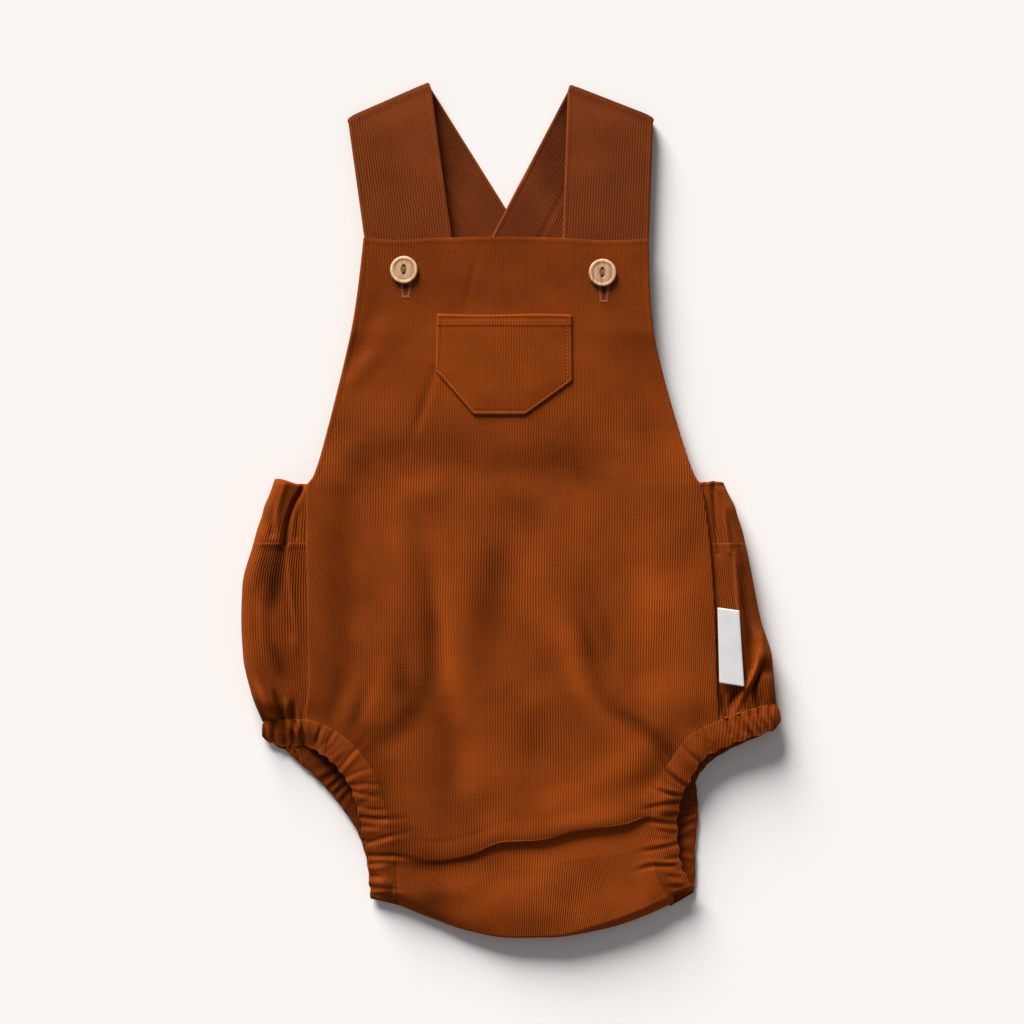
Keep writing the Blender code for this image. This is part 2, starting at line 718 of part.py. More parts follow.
def spaced(path, step):
    """The path as smooth points about a step apart, with the length up to each one."""
    table = np.array(path, float)
    lengths = np.concatenate(
        [[0.0], np.cumsum(np.linalg.norm(np.diff(table[:, :3], axis=0), axis=1))]
    )
    Knot = namedtuple("Knot", "at x y z out")
    knots = [Knot(at, *row) for at, row in zip(lengths, table)]
    count = round(lengths[-1] / step)
    places = [lengths[-1] * k / count for k in range(count + 1)]
    smooth = [[read(knots, "at", name, at) for name in ("x", "y", "z", "out")] for at in places]
    return places, np.array(smooth)


@lru_cache
def leg_line(side):
    """The smooth seam line of one leg."""
    return spaced(leg_path(side), CASING_STEP)


def leg_casing(side, finish):
    """A hem with elastic in it: an oval tube along the leg seam, gathered into small puffs,
    whose back half rests flat."""
    places, path = leg_line(side)
    tangents = np.gradient(path[:, :3], axis=0)
    points = []
    for at, (x, y, z, out), tangent in zip(places, path, tangents):
        outward = np.array([math.cos(math.radians(out)), math.sin(math.radians(out)), 0.0])
        tangent = tangent - outward * tangent.dot(outward)
        up = np.cross(outward, tangent)
        up /= np.linalg.norm(up)
        drift = PUFF_DRIFT * math.sin(at / PUFF_DRIFT_LENGTH) + PUFF_PHASES[side]
        wave = math.sin(2 * math.pi * at / PUFF_PITCH + drift)
        stacked = ease((STACKED_FROM_Y - y) / (STACKED_FROM_Y - STACKED_TO_Y))
        puff = blend(PUFF_HEIGHT, STACKED_PUFF_HEIGHT, stacked) * wave * 0.5
        half_thick = CASING_THICK / 2.0 + puff
        half_width = CASING_WIDTH / 2.0 + PUFF_WIDTH * wave * 0.5
        middle = np.array([x, y, z]) + outward * (half_width + SEAM_GAP)
        for k in range(CASING_SIDES):
            angle = 2 * math.pi * k / CASING_SIDES
            wide, high = math.cos(angle), math.sin(angle)
            rounded = math.copysign(abs(high) ** CASING_ROUNDNESS, high)
            point = middle + outward * half_width * wide + up * half_thick * rounded
            point[2] = max(point[2], 0.0)
            points.append(tuple(point))
    rings = len(places)
    faces = []
    for ring in range(rings - 1):
        for k in range(CASING_SIDES):
            a = ring * CASING_SIDES + k
            b = ring * CASING_SIDES + (k + 1) % CASING_SIDES
            faces.append((a, b, b + CASING_SIDES, a + CASING_SIDES))
    faces.append(tuple(range(CASING_SIDES))[::-1])
    faces.append(tuple(range((rings - 1) * CASING_SIDES, rings * CASING_SIDES)))
    made = add_mesh("leg_casing_" + side, points, faces, finish)
    recalculate_normals(made)
    return made


def recalculate_normals(made):
    mesh = bmesh.new()
    mesh.from_mesh(made.data)
    bmesh.ops.recalc_face_normals(mesh, faces=mesh.faces)
    mesh.to_mesh(made.data)
    mesh.free()


# ---------------------------------------------------------------------------------- the straps


def strap_edges(strap, y, lean):
    """The x of a strap's outer and inner edges at y, for the part that leans this much."""
    outer = strap.outer[0] + lean * (strap.outer[1] - y)
    inner = strap.inner[0] + lean * (strap.inner[1] - y)
    return outer, inner


def distance_outside_left_strap(x, y):
    """How far a point lies outside the left strap's back part, which runs under the right's."""
    strap = STRAPS["left"]
    outer, inner = strap_edges(strap, y, strap.back_lean)
    level = max(outer - x, x - inner, 0.0)
    return level / math.hypot(1.0, strap.back_lean)


def back_strap_middle(strap, x, y):
    """The middle of a strap's wall on its way down the back: on the table, over the other strap
    if it is the upper one, and up on to the waist casing."""
    rise = (WAIST_THICK + SEAM_GAP) * ease((CLIMB_START_Y - y) / (CLIMB_START_Y - CLIMB_END_Y))
    if strap.over:
        away = distance_outside_left_strap(x, y) - CROSSING_FLAT
        rise = max(rise, (STRAP_THICK + CROSSING_GAP) * ease(1.0 - away / CROSSING_RAMP))
    return STRAP_THICK / 2.0 + rise


def strap(side, finish):
    """A doubled band: up behind the bib, over at the shoulder, and down across the back."""
    this = STRAPS[side]
    outer, inner = np.array(this.outer), np.array(this.inner)
    fold = (inner - outer) / np.linalg.norm(inner - outer)
    off = np.array([-fold[1], fold[0]]) * math.copysign(1.0, fold[0])
    inset = off * (STRAP_BEND + STRAP_THICK / 2.0)
    outer, inner = outer - inset, inner - inset
    low = STRAP_THICK / 2.0
    shares = (0.0, 1.0 / 3.0, 2.0 / 3.0, 1.0)
    rows = []

    def run(end_y, lean, middle):
        """Rows from the end of a part to just short of the fold."""
        outer_end = np.array([strap_edges(this, end_y, lean)[0], end_y])
        inner_end = np.array([strap_edges(this, end_y, lean)[1], end_y])
        count = round(np.linalg.norm(outer_end - outer) / STRAP_ROW_STEP)
        made = []
        for k in range(count):
            start, end = (blend(a, b, k / count) for a, b in ((outer_end, outer), (inner_end, inner)))
            row = [blend(start, end, share) for share in shares]
            made.append([(x, y, middle(x, y)) for x, y in row])
        return made

    rows += run(STRAP_FRONT_END_Y, this.front_lean, lambda x, y: low + 2 * STRAP_BEND)
    for angle in (0.0, 0.25 * math.pi, 0.5 * math.pi, 0.75 * math.pi, math.pi):
        out, up = STRAP_BEND * math.sin(angle), STRAP_BEND * (1.0 + math.cos(angle))
        row = [blend(outer, inner, share) + off * out for share in shares]
        rows.append([(x, y, low + up) for x, y in row])
    back = run(STRAP_BACK_END_Y, this.back_lean, lambda x, y: back_strap_middle(this, x, y))
    rows += back[::-1]
    made = sheet("strap_" + side, rows, STRAP_THICK, finish, offset=0.0)
    return made


# ---------------------------------------------------------- the pocket, the label, the buttons


def highest_near(height, x, y, reach):
    """The highest that a surface lies within reach of a point."""
    steps = (-reach, 0.0, reach)
    return max(height(x + dx, y + dy) for dx in steps for dy in steps)


def pocket(finish):
    """The patch: the front's own surface moved out."""
    rows = []
    for row in POCKET_ROWS:
        points = []
        for k in range(POCKET_COLUMNS + 1):
            x = blend(row.left, row.right, k / POCKET_COLUMNS)
            points.append((x, row.y, highest_near(front_height, x, row.y, POCKET_SEAT_REACH) + GAP + WALL))
        rows.append(points)
    return sheet("pocket", rows, WALL, finish)


def side_label(finish):
    """A folded ribbon caught in the right side seam, lying on the strip."""
    def strip(x, y):
        return strip_height("right", x, y)

    top_left, top_y, top_right, top_right_y = LABEL_CORNERS["top"]
    low_left, low_y, low_right, low_right_y = LABEL_CORNERS["bottom"]
    rows = []
    for r in range(LABEL_ROWS + 1):
        down = r / LABEL_ROWS
        points = []
        for c in range(LABEL_COLUMNS + 1):
            across = c / LABEL_COLUMNS
            x = blend(blend(top_left, low_left, down), blend(top_right, low_right, down), across)
            y = blend(blend(top_y, low_y, down), blend(top_right_y, low_right_y, down), across)
            points.append((x, y, highest_near(strip, x, y, LABEL_SEAT_REACH) + SEAM_GAP + LABEL_THICK))
        rows.append(points)
    return sheet("side_label", rows, LABEL_THICK, finish)


def cutter(name, radius, depth, sides, location, scale=(1.0, 1.0)):
    """A hidden drum that a Boolean takes away."""
    mesh = bpy.data.meshes.new(name)
    made = bmesh.new()
    bmesh.ops.create_cone(
        made, cap_ends=True, segments=sides, radius1=radius * MM, radius2=radius * MM, depth=depth * MM
    )
    for vertex in made.verts:
        vertex.co.x = vertex.co.x * scale[0] + location[0] * MM
        vertex.co.y = vertex.co.y * scale[1] + location[1] * MM
        vertex.co.z += location[2] * MM
    made.to_mesh(mesh)
    made.free()
    item = bpy.data.objects.new(name, mesh)
    bpy.context.scene.collection.objects.link(item)
    item.hide_render = True
    item.display_type = "WIRE"
    return item


def cut(made, item):
    boolean = made.modifiers.new(item.name, "BOOLEAN")
    boolean.operation = "DIFFERENCE"
    boolean.solver = "EXACT"
    boolean.object = item


def button(name, x, y, finish):
    """A turned disc with a raised rim and a dished middle, an eye-shaped recess along Y and two
    thread holes in it. The profile's radii and heights are shares of the button's own."""
    seat = highest_near(front_height, x, y, BUTTON_RADIUS) + GAP
    top = seat + BUTTON_DISH * BUTTON_THICK
    points = [(x, y, top)]
    for turning in BUTTON_PROFILE:
        far, z = turning.radius * BUTTON_RADIUS, seat + turning.height * BUTTON_THICK
        for k in range(BUTTON_SIDES):
            angle = 2 * math.pi * k / BUTTON_SIDES
            points.append((x + far * math.cos(angle), y + far * math.sin(angle), z))
    points.append((x, y, seat))
    faces = []
    for k in range(BUTTON_SIDES):
        after = (k + 1) % BUTTON_SIDES
        faces.append((0, 1 + k, 1 + after))
        for ring in range(len(BUTTON_PROFILE) - 1):
            a = 1 + ring * BUTTON_SIDES
            faces.append((a + k, a + BUTTON_SIDES + k, a + BUTTON_SIDES + after, a + after))
        last = 1 + (len(BUTTON_PROFILE) - 1) * BUTTON_SIDES
        faces.append((last + k, len(points) - 1, last + after))
    made = add_mesh(name, points, faces, finish)
    recalculate_normals(made)
    eye_scale = (EYE_WIDTH / EYE_LENGTH, 1.0)
    eye_at = (x, y, top)
    eye = cutter(name + "_eye", EYE_LENGTH / 2.0, 2 * EYE_DEPTH, EYE_SIDES, eye_at, eye_scale)
    cut(made, eye)
    for number, sign in enumerate((-1.0, 1.0)):
        hole_at = (x, y + sign * THREAD_HOLE_SPACING / 2.0, seat)
        hole_name = f"{name}_hole_{number}"
        depth = 4 * BUTTON_THICK
        cut(made, cutter(hole_name, THREAD_HOLE_RADIUS, depth, THREAD_HOLE_SIDES, hole_at))
    return made


def main():
    clear_scene()
    names = ("front", "back", "waist", "leg_left", "leg_right", "strap_left", "strap_right", "pocket")
    cloth = {name: material("corduroy_" + name, CORDUROY, 0.9) for name in names}
    sheet("front_panel", front_rows(), WALL, cloth["front"])
    back_panel(cloth["back"])
    back_waist_casing(cloth["waist"])
    for side in ("left", "right"):
        leg_casing(side, cloth["leg_" + side])
        strap(side, cloth["strap_" + side])
    pocket(cloth["pocket"])
    side_label(material("woven_ribbon", RIBBON, 0.7))
    for name, (x, y) in BUTTON_PLACES.items():
        button(name, x, y, material(name + "_wood", WOOD, 0.55))
    centre_on_origin()


def centre_on_origin():
    """Moves the whole garment so that the middle of its box stands on the origin."""
    bpy.context.view_layer.update()
    shown = [item for item in bpy.data.objects if not item.hide_render]
    corners = np.array([tuple(v.co) for item in shown for v in item.data.vertices])
    middle = (corners.min(axis=0) + corners.max(axis=0)) / 2.0
    size = (corners.max(axis=0) - corners.min(axis=0)) / MM
    print("The garment's points span {:.1f} x {:.1f} x {:.1f} mm".format(*size))
    for item in bpy.data.objects:
        for vertex in item.data.vertices:
            vertex.co.x -= middle[0]
            vertex.co.y -= middle[1]


main()
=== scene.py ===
# %% [markdown]
# # A baby's bib romper in fine corduroy, laid flat
#
# The real thing is sewn from a dozen pieces of cloth: a front that is bib and belly in one, a
# back that wraps round both sides, two straps, a patch pocket, casings with elastic in them at
# the back waist and round the legs, two wooden buttons and a ribbon label. It lies on its back
# on a white table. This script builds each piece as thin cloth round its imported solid, sews the
# visible seams with small thread stitches, and lights it softly from the upper left.
#
# All shapes are worked out in millimetres in the garment's own layout: +Y from the crotch to
# the shoulders, +X to the right of the view from above, z = 0 on the table.

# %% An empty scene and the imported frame
import json
import math
from collections import namedtuple

import bpy
import numpy as np
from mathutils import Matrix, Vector
from mathutils.bvhtree import BVHTree

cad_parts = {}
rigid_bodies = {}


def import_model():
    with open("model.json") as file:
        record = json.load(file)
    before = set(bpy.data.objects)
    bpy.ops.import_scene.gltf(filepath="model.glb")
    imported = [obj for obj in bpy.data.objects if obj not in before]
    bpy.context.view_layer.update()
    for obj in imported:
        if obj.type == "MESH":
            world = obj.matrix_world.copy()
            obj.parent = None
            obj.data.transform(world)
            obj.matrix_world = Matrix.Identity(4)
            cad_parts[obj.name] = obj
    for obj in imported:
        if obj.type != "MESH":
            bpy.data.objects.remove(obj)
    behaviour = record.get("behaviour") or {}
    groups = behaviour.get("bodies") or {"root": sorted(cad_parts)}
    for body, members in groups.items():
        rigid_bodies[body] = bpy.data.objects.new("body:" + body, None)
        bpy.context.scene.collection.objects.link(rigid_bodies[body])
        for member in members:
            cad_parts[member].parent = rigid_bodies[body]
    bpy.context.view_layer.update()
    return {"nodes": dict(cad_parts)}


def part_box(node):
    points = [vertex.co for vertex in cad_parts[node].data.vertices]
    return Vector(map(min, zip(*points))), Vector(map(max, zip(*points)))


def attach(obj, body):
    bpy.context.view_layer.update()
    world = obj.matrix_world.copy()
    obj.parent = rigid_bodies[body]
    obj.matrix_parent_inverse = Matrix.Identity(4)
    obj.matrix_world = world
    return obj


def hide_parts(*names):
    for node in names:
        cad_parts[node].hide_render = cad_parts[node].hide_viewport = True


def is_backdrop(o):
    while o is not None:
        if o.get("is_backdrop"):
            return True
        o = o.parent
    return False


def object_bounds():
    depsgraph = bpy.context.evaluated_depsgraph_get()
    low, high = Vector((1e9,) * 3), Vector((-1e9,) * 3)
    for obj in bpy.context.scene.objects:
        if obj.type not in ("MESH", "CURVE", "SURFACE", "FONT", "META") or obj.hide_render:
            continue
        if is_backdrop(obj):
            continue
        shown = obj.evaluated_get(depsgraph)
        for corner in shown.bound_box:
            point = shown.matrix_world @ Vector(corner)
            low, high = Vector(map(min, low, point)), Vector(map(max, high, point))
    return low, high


for item in list(bpy.data.objects):
    bpy.data.objects.remove(item, do_unlink=True)
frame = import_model()
MM = 0.001
print("Packed pieces:", ", ".join(sorted(frame["nodes"])))

# %% [markdown]
# The layout's own origin is not quite the frame's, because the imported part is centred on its
# box. A button is a small, sharp landmark, so the left one gives the shift between the two.

# %% Where the layout lies in the frame
BUTTON_PLACES = {"button_left": (-57.1, 129.4), "button_right": (49.3, 127.9)}
button_low, button_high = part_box("button_left")
button_middle = np.array((button_low + button_high) / 2.0) / MM
SHIFT = np.array([*(button_middle[:2] - BUTTON_PLACES["button_left"]), 0.0])
print("The layout is shifted by", np.round(SHIFT, 3), "mm")

# %% [markdown]
# ## Reading a shape from short tables
#
# A dressmaker gives a panel as a few measures: how wide at the bust, at the waist, at the hem.
# The tables below do the same: their columns are named once, and each row is one place. To get
# cloth from them, each column is read along a smooth curve that never swings past its own rows
# (a cubic with the slopes held back), as a flexible ruler laid through pins would lie.
# Everything works on whole arrays of points at once, so a panel of forty thousand points takes
# a moment.


# %% Blending, easing and reading a table
def blend(start, end, share):
    return start + (end - start) * share


def ease(share):
    """0 to 1 with level ends."""
    share = np.clip(share, 0.0, 1.0)
    return share * share * (3.0 - 2.0 * share)


def hill(away, width):
    """1 at the middle, dying away on both sides."""
    return np.exp(-((away / width) ** 2))


def no_lower(z, floor, softness=0.5):
    """z, eased so that it never goes under the floor."""
    over = np.minimum((z - floor) / softness, 40.0)
    return floor + softness * np.log1p(np.exp(over))


def running(steps):
    """The running total of some steps, from 0."""
    return np.concatenate([np.zeros_like(steps[:1]), np.cumsum(steps, axis=0)])


def together(*parts):
    """Coordinates side by side, as one array of points."""
    return np.stack(np.broadcast_arrays(*parts), axis=-1)


def smooth_through(xs, ys, at):
    """The height of a smooth curve through points, with slopes that never overshoot."""
    step = np.diff(xs)
    rise = np.diff(ys) / step
    slope = np.zeros(len(xs))
    same = rise[:-1] * rise[1:] > 0
    both = np.where(same, rise[:-1] + rise[1:], 1.0)
    slope[1:-1] = np.where(same, 2 * rise[:-1] * rise[1:] / both, 0.0)
    slope[0], slope[-1] = rise[0], rise[-1]
    at = np.asarray(at, float)
    i = np.clip(np.searchsorted(xs, at) - 1, 0, len(step) - 1)
    t = np.clip((at - xs[i]) / step[i], 0.0, 1.0)
    low = ys[i] * (1 + 2 * t) * (1 - t) ** 2 + slope[i] * step[i] * t * (1 - t) ** 2
    high = ys[i + 1] * (3 - 2 * t) * t**2 - slope[i + 1] * step[i] * (1 - t) * t**2
    return low + high


def table(columns, *rows):
    """Measures in named columns. It gives a function that reads one column at places along the
    first one."""
    rows = np.array(sorted(rows), float)
    values = dict(zip(columns.split(), rows.T))
    return lambda column, at: smooth_through(rows[:, 0], values[column], at)


# %% [markdown]
# ## Creases
#
# Each crease is a line on the cloth with a depth (a trough is below 0, a ridge above) and a width
# on either hand. Equal widths make a soft wave. A narrow one beside a wide one makes the sharp lee
# of a pleat, where cloth has folded over and casts a dark line. The depth can die away at the head
# or the tail. Simulating this cloth would give other folds than the ones it really lies in, so they
# are listed one by one.

# %% The crease and its lift
Crease = namedtuple("Crease", "depth left right head tail points")


def waves(head, tail, *rows):
    """Creases as wide on their left as on their right, from rows of a depth, a width and the
    points of the line."""
    return [Crease(depth, width, width, head, tail, points) for depth, width, *points in rows]


def pleats(*rows):
    """Creases from rows of a depth, left, right, head and tail, then the points of the line."""
    return [Crease(*row[:5], row[5:]) for row in rows]


FADE_SHARE = 0.45


def from_run(x, y, start, end):
    """How far points lie from a straight run, their share along it, and the way to them."""
    step = (end - start)[:2]
    share = ((x - start[0]) * step[0] + (y - start[1]) * step[1]) / math.hypot(*step) ** 2
    share = np.clip(share, 0.0, 1.0)
    dx, dy = x - start[0] - share * step[0], y - start[1] - share * step[1]
    return np.hypot(dx, dy), share, dx, dy


def crease_lift(x, y, crease):
    """How far one crease lifts the cloth at each point; left is the left hand of its travel."""
    knots = np.array(crease.points, float)
    lengths = running(np.hypot(*np.diff(knots, axis=0).T))
    if len(knots) > 2:
        at = np.linspace(0.0, lengths[-1], 4 * len(knots))
        knots = together(*(smooth_through(lengths, column, at) for column in knots.T))
        lengths = at
    nearest = np.full(x.shape, np.inf)
    hand, along = np.zeros(x.shape), np.zeros(x.shape)
    for start, end, before in zip(knots, knots[1:], lengths):
        away, share, dx, dy = from_run(x, y, start, end)
        step = end - start
        closer = away < nearest
        nearest = np.where(closer, away, nearest)
        hand = np.where(closer, step[0] * dy - step[1] * dx, hand)
        along = np.where(closer, (before + share * math.hypot(*step)) / lengths[-1], along)
    width = np.where(hand > 0, crease.left, crease.right)
    depth = crease.depth * blend(crease.head, 1.0, ease(along / FADE_SHARE))
    depth = depth * blend(crease.tail, 1.0, ease((1.0 - along) / FADE_SHARE))
    return depth * hill(nearest, width)


def creased(x, y, creases):
    """The lift of a whole set of creases. Each is worked out only near its own line."""
    x, y = np.broadcast_arrays(np.asarray(x, float), np.asarray(y, float))
    total = np.zeros(x.shape)
    for crease in creases:
        reach = 3.0 * max(crease.left, crease.right)
        knots = np.array(crease.points, float)
        low, high = knots.min(axis=0) - reach, knots.max(axis=0) + reach
        near = (x > low[0]) & (x < high[0]) & (y > low[1]) & (y < high[1])
        if near.any():
            total[near] += crease_lift(x[near], y[near], crease)
    return total


# %% [markdown]
# ## Cloth as a thin wall
#
# Real cloth has two faces and a rounded edge. A Solidify modifier would give it two faces but a
# square rim that shades badly, so the wall is made here: the points are the outer face, a copy
# pushed in along the normals is the inner face, and one more line of points round every free
# edge bulges out a little to round it. The piece's own UV map holds the cloth's flat
# coordinates in metres, across the wales and along them, so that the corduroy's ridges run with
# the cloth and not with the world.


# %% Thin walls
RIM_BULGE = 0.4


def grid_quads(rows, columns, wrap=False):
    """Four-sided faces over a grid of points numbered row by row, facing up where the rows run
    towards -Y and the columns towards +X. wrap joins the last column to the first."""
    number = np.arange(rows * columns).reshape(rows, columns)
    if wrap:
        number = np.concatenate([number, number[:, :1]], axis=1)
    return grid_corners(number)


def grid_corners(values):
    """What each corner of a grid's faces has, such as its flat cloth coordinates. A wrapped
    grid's have one column more than its points."""
    corners = (values[:-1, :-1], values[1:, :-1], values[1:, 1:], values[:-1, 1:])
    return np.stack(corners, axis=2).reshape(-1, 4, *values.shape[2:])


def point_normals(points, quads):
    corner = points[quads]
    across = np.cross(corner[:, 2] - corner[:, 0], corner[:, 3] - corner[:, 1])
    normals = np.zeros_like(points)
    for k in range(4):
        np.add.at(normals, quads[:, k], across)
    return unit(normals)


def unit(ways):
    """Directions made 1 long."""
    return ways / np.maximum(np.linalg.norm(ways, axis=-1, keepdims=True), 1e-9)


def thin_wall(name, points, quads, cloth, thick, lie=None):
    """A closed wall whose outer face is the given one. All sizes are in millimetres. Its last
    argument paints light and shade into the colour at each point: below 0 painted shade, above 0
    painted highlight."""
    normals = point_normals(points, quads)
    count = len(points)
    inner = points - normals * thick
    starts, ends = quads.ravel(), np.roll(quads, -1, axis=1).ravel()
    edge = np.minimum(starts, ends) * count + np.maximum(starts, ends)
    _, first, uses = np.unique(edge, return_index=True, return_counts=True)
    free = first[uses == 1]
    a, b = starts[free], ends[free]
    away = np.cross(points[b] - points[a], normals[a] + normals[b])
    out = np.zeros_like(points)
    np.add.at(out, a, away)
    np.add.at(out, b, away)
    rim, where = np.unique(np.concatenate([a, b]), return_inverse=True)
    middle = (points[rim] + inner[rim]) / 2.0 + unit(out[rim]) * thick * RIM_BULGE
    ma, mb = where.reshape(2, -1) + 2 * count
    upper = np.stack([b, a, ma, mb], axis=1)
    lower = np.stack([mb, ma, a + count, b + count], axis=1)
    flat, face, corner = cloth.reshape(-1, 2), free // 4, free % 4
    here, there = flat[free], flat[face * 4 + (corner + 1) % 4]
    edging = np.stack([there, here, here, there], axis=1)
    made = add_mesh(
        name, np.concatenate([points, inner, middle]),
        np.concatenate([quads, quads[:, ::-1] + count, upper, lower]),
        np.concatenate([cloth, cloth[:, ::-1], edging, edging]),
    )
    if lie is not None:
        set_painted_light(made, np.concatenate([lie.ravel(), lie.ravel(), lie.ravel()[rim]]))
    return made


def add_mesh(name, points, faces, cloth):
    """An object at the origin from points in layout millimetres and four-sided faces."""
    mesh = bpy.data.meshes.new(name)
    mesh.vertices.add(len(points))
    points = np.maximum(points, [-np.inf, -np.inf, 0.0])
    mesh.vertices.foreach_set("co", ((points + SHIFT) * MM).astype(np.float32).ravel())
    mesh.loops.add(faces.size)
    mesh.loops.foreach_set("vertex_index", faces.astype(np.int32).ravel())
    mesh.polygons.add(len(faces))
    mesh.polygons.foreach_set("loop_start", np.arange(0, faces.size, 4, dtype=np.int32))
    mesh.polygons.foreach_set("use_smooth", np.ones(len(faces), bool))
    layer = mesh.uv_layers.new(name="cloth")
    layer.data.foreach_set("uv", (cloth * MM).astype(np.float32).ravel())
    mesh.update()
    mesh.validate()
    area = sum(face.area for face in mesh.polygons)
    print(f"{name}: {2 * len(faces)} triangles, half its surface is {area / 2 * 1e4:.0f} cm2")
    return into_scene(name, mesh)


def into_scene(name, data):
    made = bpy.data.objects.new(name, data)
    bpy.context.scene.collection.objects.link(made)
    return made


# Stores the painted light and shade of each point, which the corduroy finish adds to its colour.
def set_painted_light(piece, values):
    layer = piece.data.attributes.new("lie", "FLOAT", "POINT")
    layer.data.foreach_set("value", values.ravel().astype(np.float32))


def sheet_of(name, grid, thick, cloth=None, lie=None, turned=False):
    """A thin wall from one grid of points. turned faces it the other way."""
    quads = grid_quads(*grid.shape[:2])
    corners = grid_corners(grid[..., :2] if cloth is None else cloth)
    if turned:
        quads, corners = quads[:, ::-1], corners[:, ::-1]
    return thin_wall(name, grid.reshape(-1, 3), quads, corners, thick, lie)


# %% [markdown]
# ## The measures
#
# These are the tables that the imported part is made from, so every piece lands on its solid.
# Only the fold above the crotch, `LIP`, is followed more closely here. The front's table gives
# its edges and the height of its top face at the left edge, the middle and the right edge.
# `full` is how square the cross section is: 2 is a plain arch.

# %% The front's measures
WALL = 1.5
GAP = 0.3
SEAM_GAP = 0.6
LEG_SEAM_Y = -113.0
ABOVE_LIP_Y = -140.0
LIP_REACH = 14.0
CASING_PULL = 11.0
EDGE_FADE = 3.5

FRONT = table(
    "y left right z_left z_mid z_right full floor",
    (146, -78.5, 73.7, 9.9, 10, 9.9, 2.5, 9.8),
    (122, -81.2, 74.3, 9.9, 10, 9.9, 2.5, 9.8),
    (98, -84.8, 76.2, 9.9, 10.2, 9.9, 2.5, 9.8),
    (84, -88, 79, 8.2, 10.4, 8.4, 2.5, 7.4),
    (62, -93.5, 84.8, 6.4, 10.6, 7, 2.5, 5.5),
    (45, -97.8, 89.8, 6.6, 10.8, 7.2, 2.4, 6),
    (19, -105.3, 98.5, 11.2, 11.8, 11.2, 2.3, 9),
    (13, -109, 102.1, 11.9, 12.2, 11.9, 2.3, 9.8),
    (-5, -109.2, 105.2, 12, 13.6, 12, 2.3, 10),
    (-26, -109, 107.4, 12, 15.2, 12, 2.4, 10),
    (-58, -108.6, 109.4, 12.2, 16.4, 12.2, 2.6, 10),
    (-96, -108.2, 110.6, 12, 16.6, 12, 2.6, 10),
    (-113, -110.2, 111.6, 11.7, 16.2, 11.7, 2.4, 10),
    (-140, -104, 106, 11.4, 15.8, 11.4, 2.6, 9.4),
    (-165, -90, 98, 10.4, 15.6, 10.4, 2.8, 8),
    (-185, -84, 96, 9.4, 15.2, 9.4, 2.8, 7),
)
LIP = table(
    "x y crest share flap",
    (-70, -178.5, 9.2, 0.05, 8.4), (-60, -184.4, 11, 0.1, 8.9), (-43, -189.4, 12.4, 0.35, 9.6),
    (-23, -186.4, 13.2, 0.55, 10.4), (-4, -178.2, 14.2, 0.9, 10.8), (16, -176.8, 14.6, 1, 11),
    (36, -171.5, 15, 1, 11), (60, -168.6, 14.4, 0.95, 10.8), (72, -166, 12.8, 0.5, 10.6),
    (84, -161, 10.6, 0.05, 10.2),
)
LIP_ROWS = table(
    "step slope_ahead slope_drop fold_ahead fold_drop",
    (0, -LIP_REACH, 0, -LIP_REACH, 0), (1, -10, 0.06, -7, 0), (2, -7, 0.16, -2.7, 0.08),
    (3, -4, 0.3, 0, 0.33), (4, -1, 0.46, -2, 0.55), (5, 1.5, 0.6, -4.6, 0.68),
    (6, 4, 0.73, -5.6, 0.82), (7, 6.5, 0.84, -4, 0.93), (8, 9, 0.92, -1, 0.955),
    (9, 11.5, 0.97, 6, 0.98), (10, LIP_REACH, 1, LIP_REACH, 1),
)
CROTCH = table(
    "x front_y back_y z",
    (-76, -205.8, -204.6, 2.6), (-62, -211.2, -210, 2.7), (-42, -219, -217.8, 3.9),
    (-23, -225.2, -224, 6), (0, -228.6, -227.8, 8.2), (21, -228.2, -229, 9.2),
    (50, -221, -225.4, 10.4), (71, -213.2, -219, 10.6), (86, -206.6, -212.2, 9.2),
    (99, -201.6, -204, 9),
)
BIB_TOP = table(
    "x rise",
    (-80, 0.6), (-61, -0.9), (-43, 0.2), (0, 0.9), (25, 0.3), (50, -1), (62, -0.8), (75, 0.1),
)

# %% [markdown]
# ## The folds that show on the front
#
# The belly is fuller than the bib, because the elastic at the back and round the legs draws the
# cloth in. It lies in a few broad waves, with short sharp wrinkles where it meets the elastic.

# %% Folds of the front
BELLY_FOLDS = pleats(
    (-1.5, 7.5, 6.5, 0, 0, (-51, 3), (-48, -21), (-41, -42), (-38, -58), (-38, -77), (-40, -96),
     (-46, -110)),
    (-0.9, 7, 7, 0, 0.3, (-46, -104), (-62, -119), (-77, -131), (-91, -141)),
    (-0.9, 9, 9, 0, 0, (2, 0), (-3, -24), (-4, -50), (-2, -77), (1, -92)),
    (-2, 4.6, 8.4, 0, 0, (40, -24), (47, -50), (52, -72), (57, -96)),
    (-1.89, 9.1, 9.1, 0.2, 0.3, (-86, 38), (-85, -5), (-84, -47), (-86, -96), (-85, -125)),
    (0.9, 6.4, 6.4, 0, 0, (-60, 3), (-59, -26), (-58, -58), (-64, -80)),
    (1.62, 7.5, 7.5, 0, 0, (-26, -5), (-24, -47), (-21, -80), (-16, -101)),
    (2, 8.6, 4.4, 0, 0, (22, -8), (20, -31), (26, -55), (34, -75), (41, -96), (50, -108)),
    (-1.5, 8.5, 8.5, 0, 0, (-38, -104), (-31, -125), (-29, -149), (-33, -165)),
    (1, 9.6, 9.6, 0, 0, (-22, -118), (-17, -145), (-22, -168)),
    (-1.1, 8.5, 8.5, 0, 0, (8, -104), (16, -124), (14, -147)),
    (0.9, 9.6, 9.6, 0.1, 0.2, (35, -155), (53, -144), (74, -134)),
    (1.62, 12.9, 12.9, 0, 0, (69, -26), (77, -53), (77, -90)),
    (-1.22, 10.7, 10.7, 0.1, 0.2, (-59, 33), (-22, 22), (16, 22), (48, 24), (83, 22)),
    (1.08, 8.6, 8.6, 0, 0, (-65, 9), (-43, 12), (-22, 9)),
)
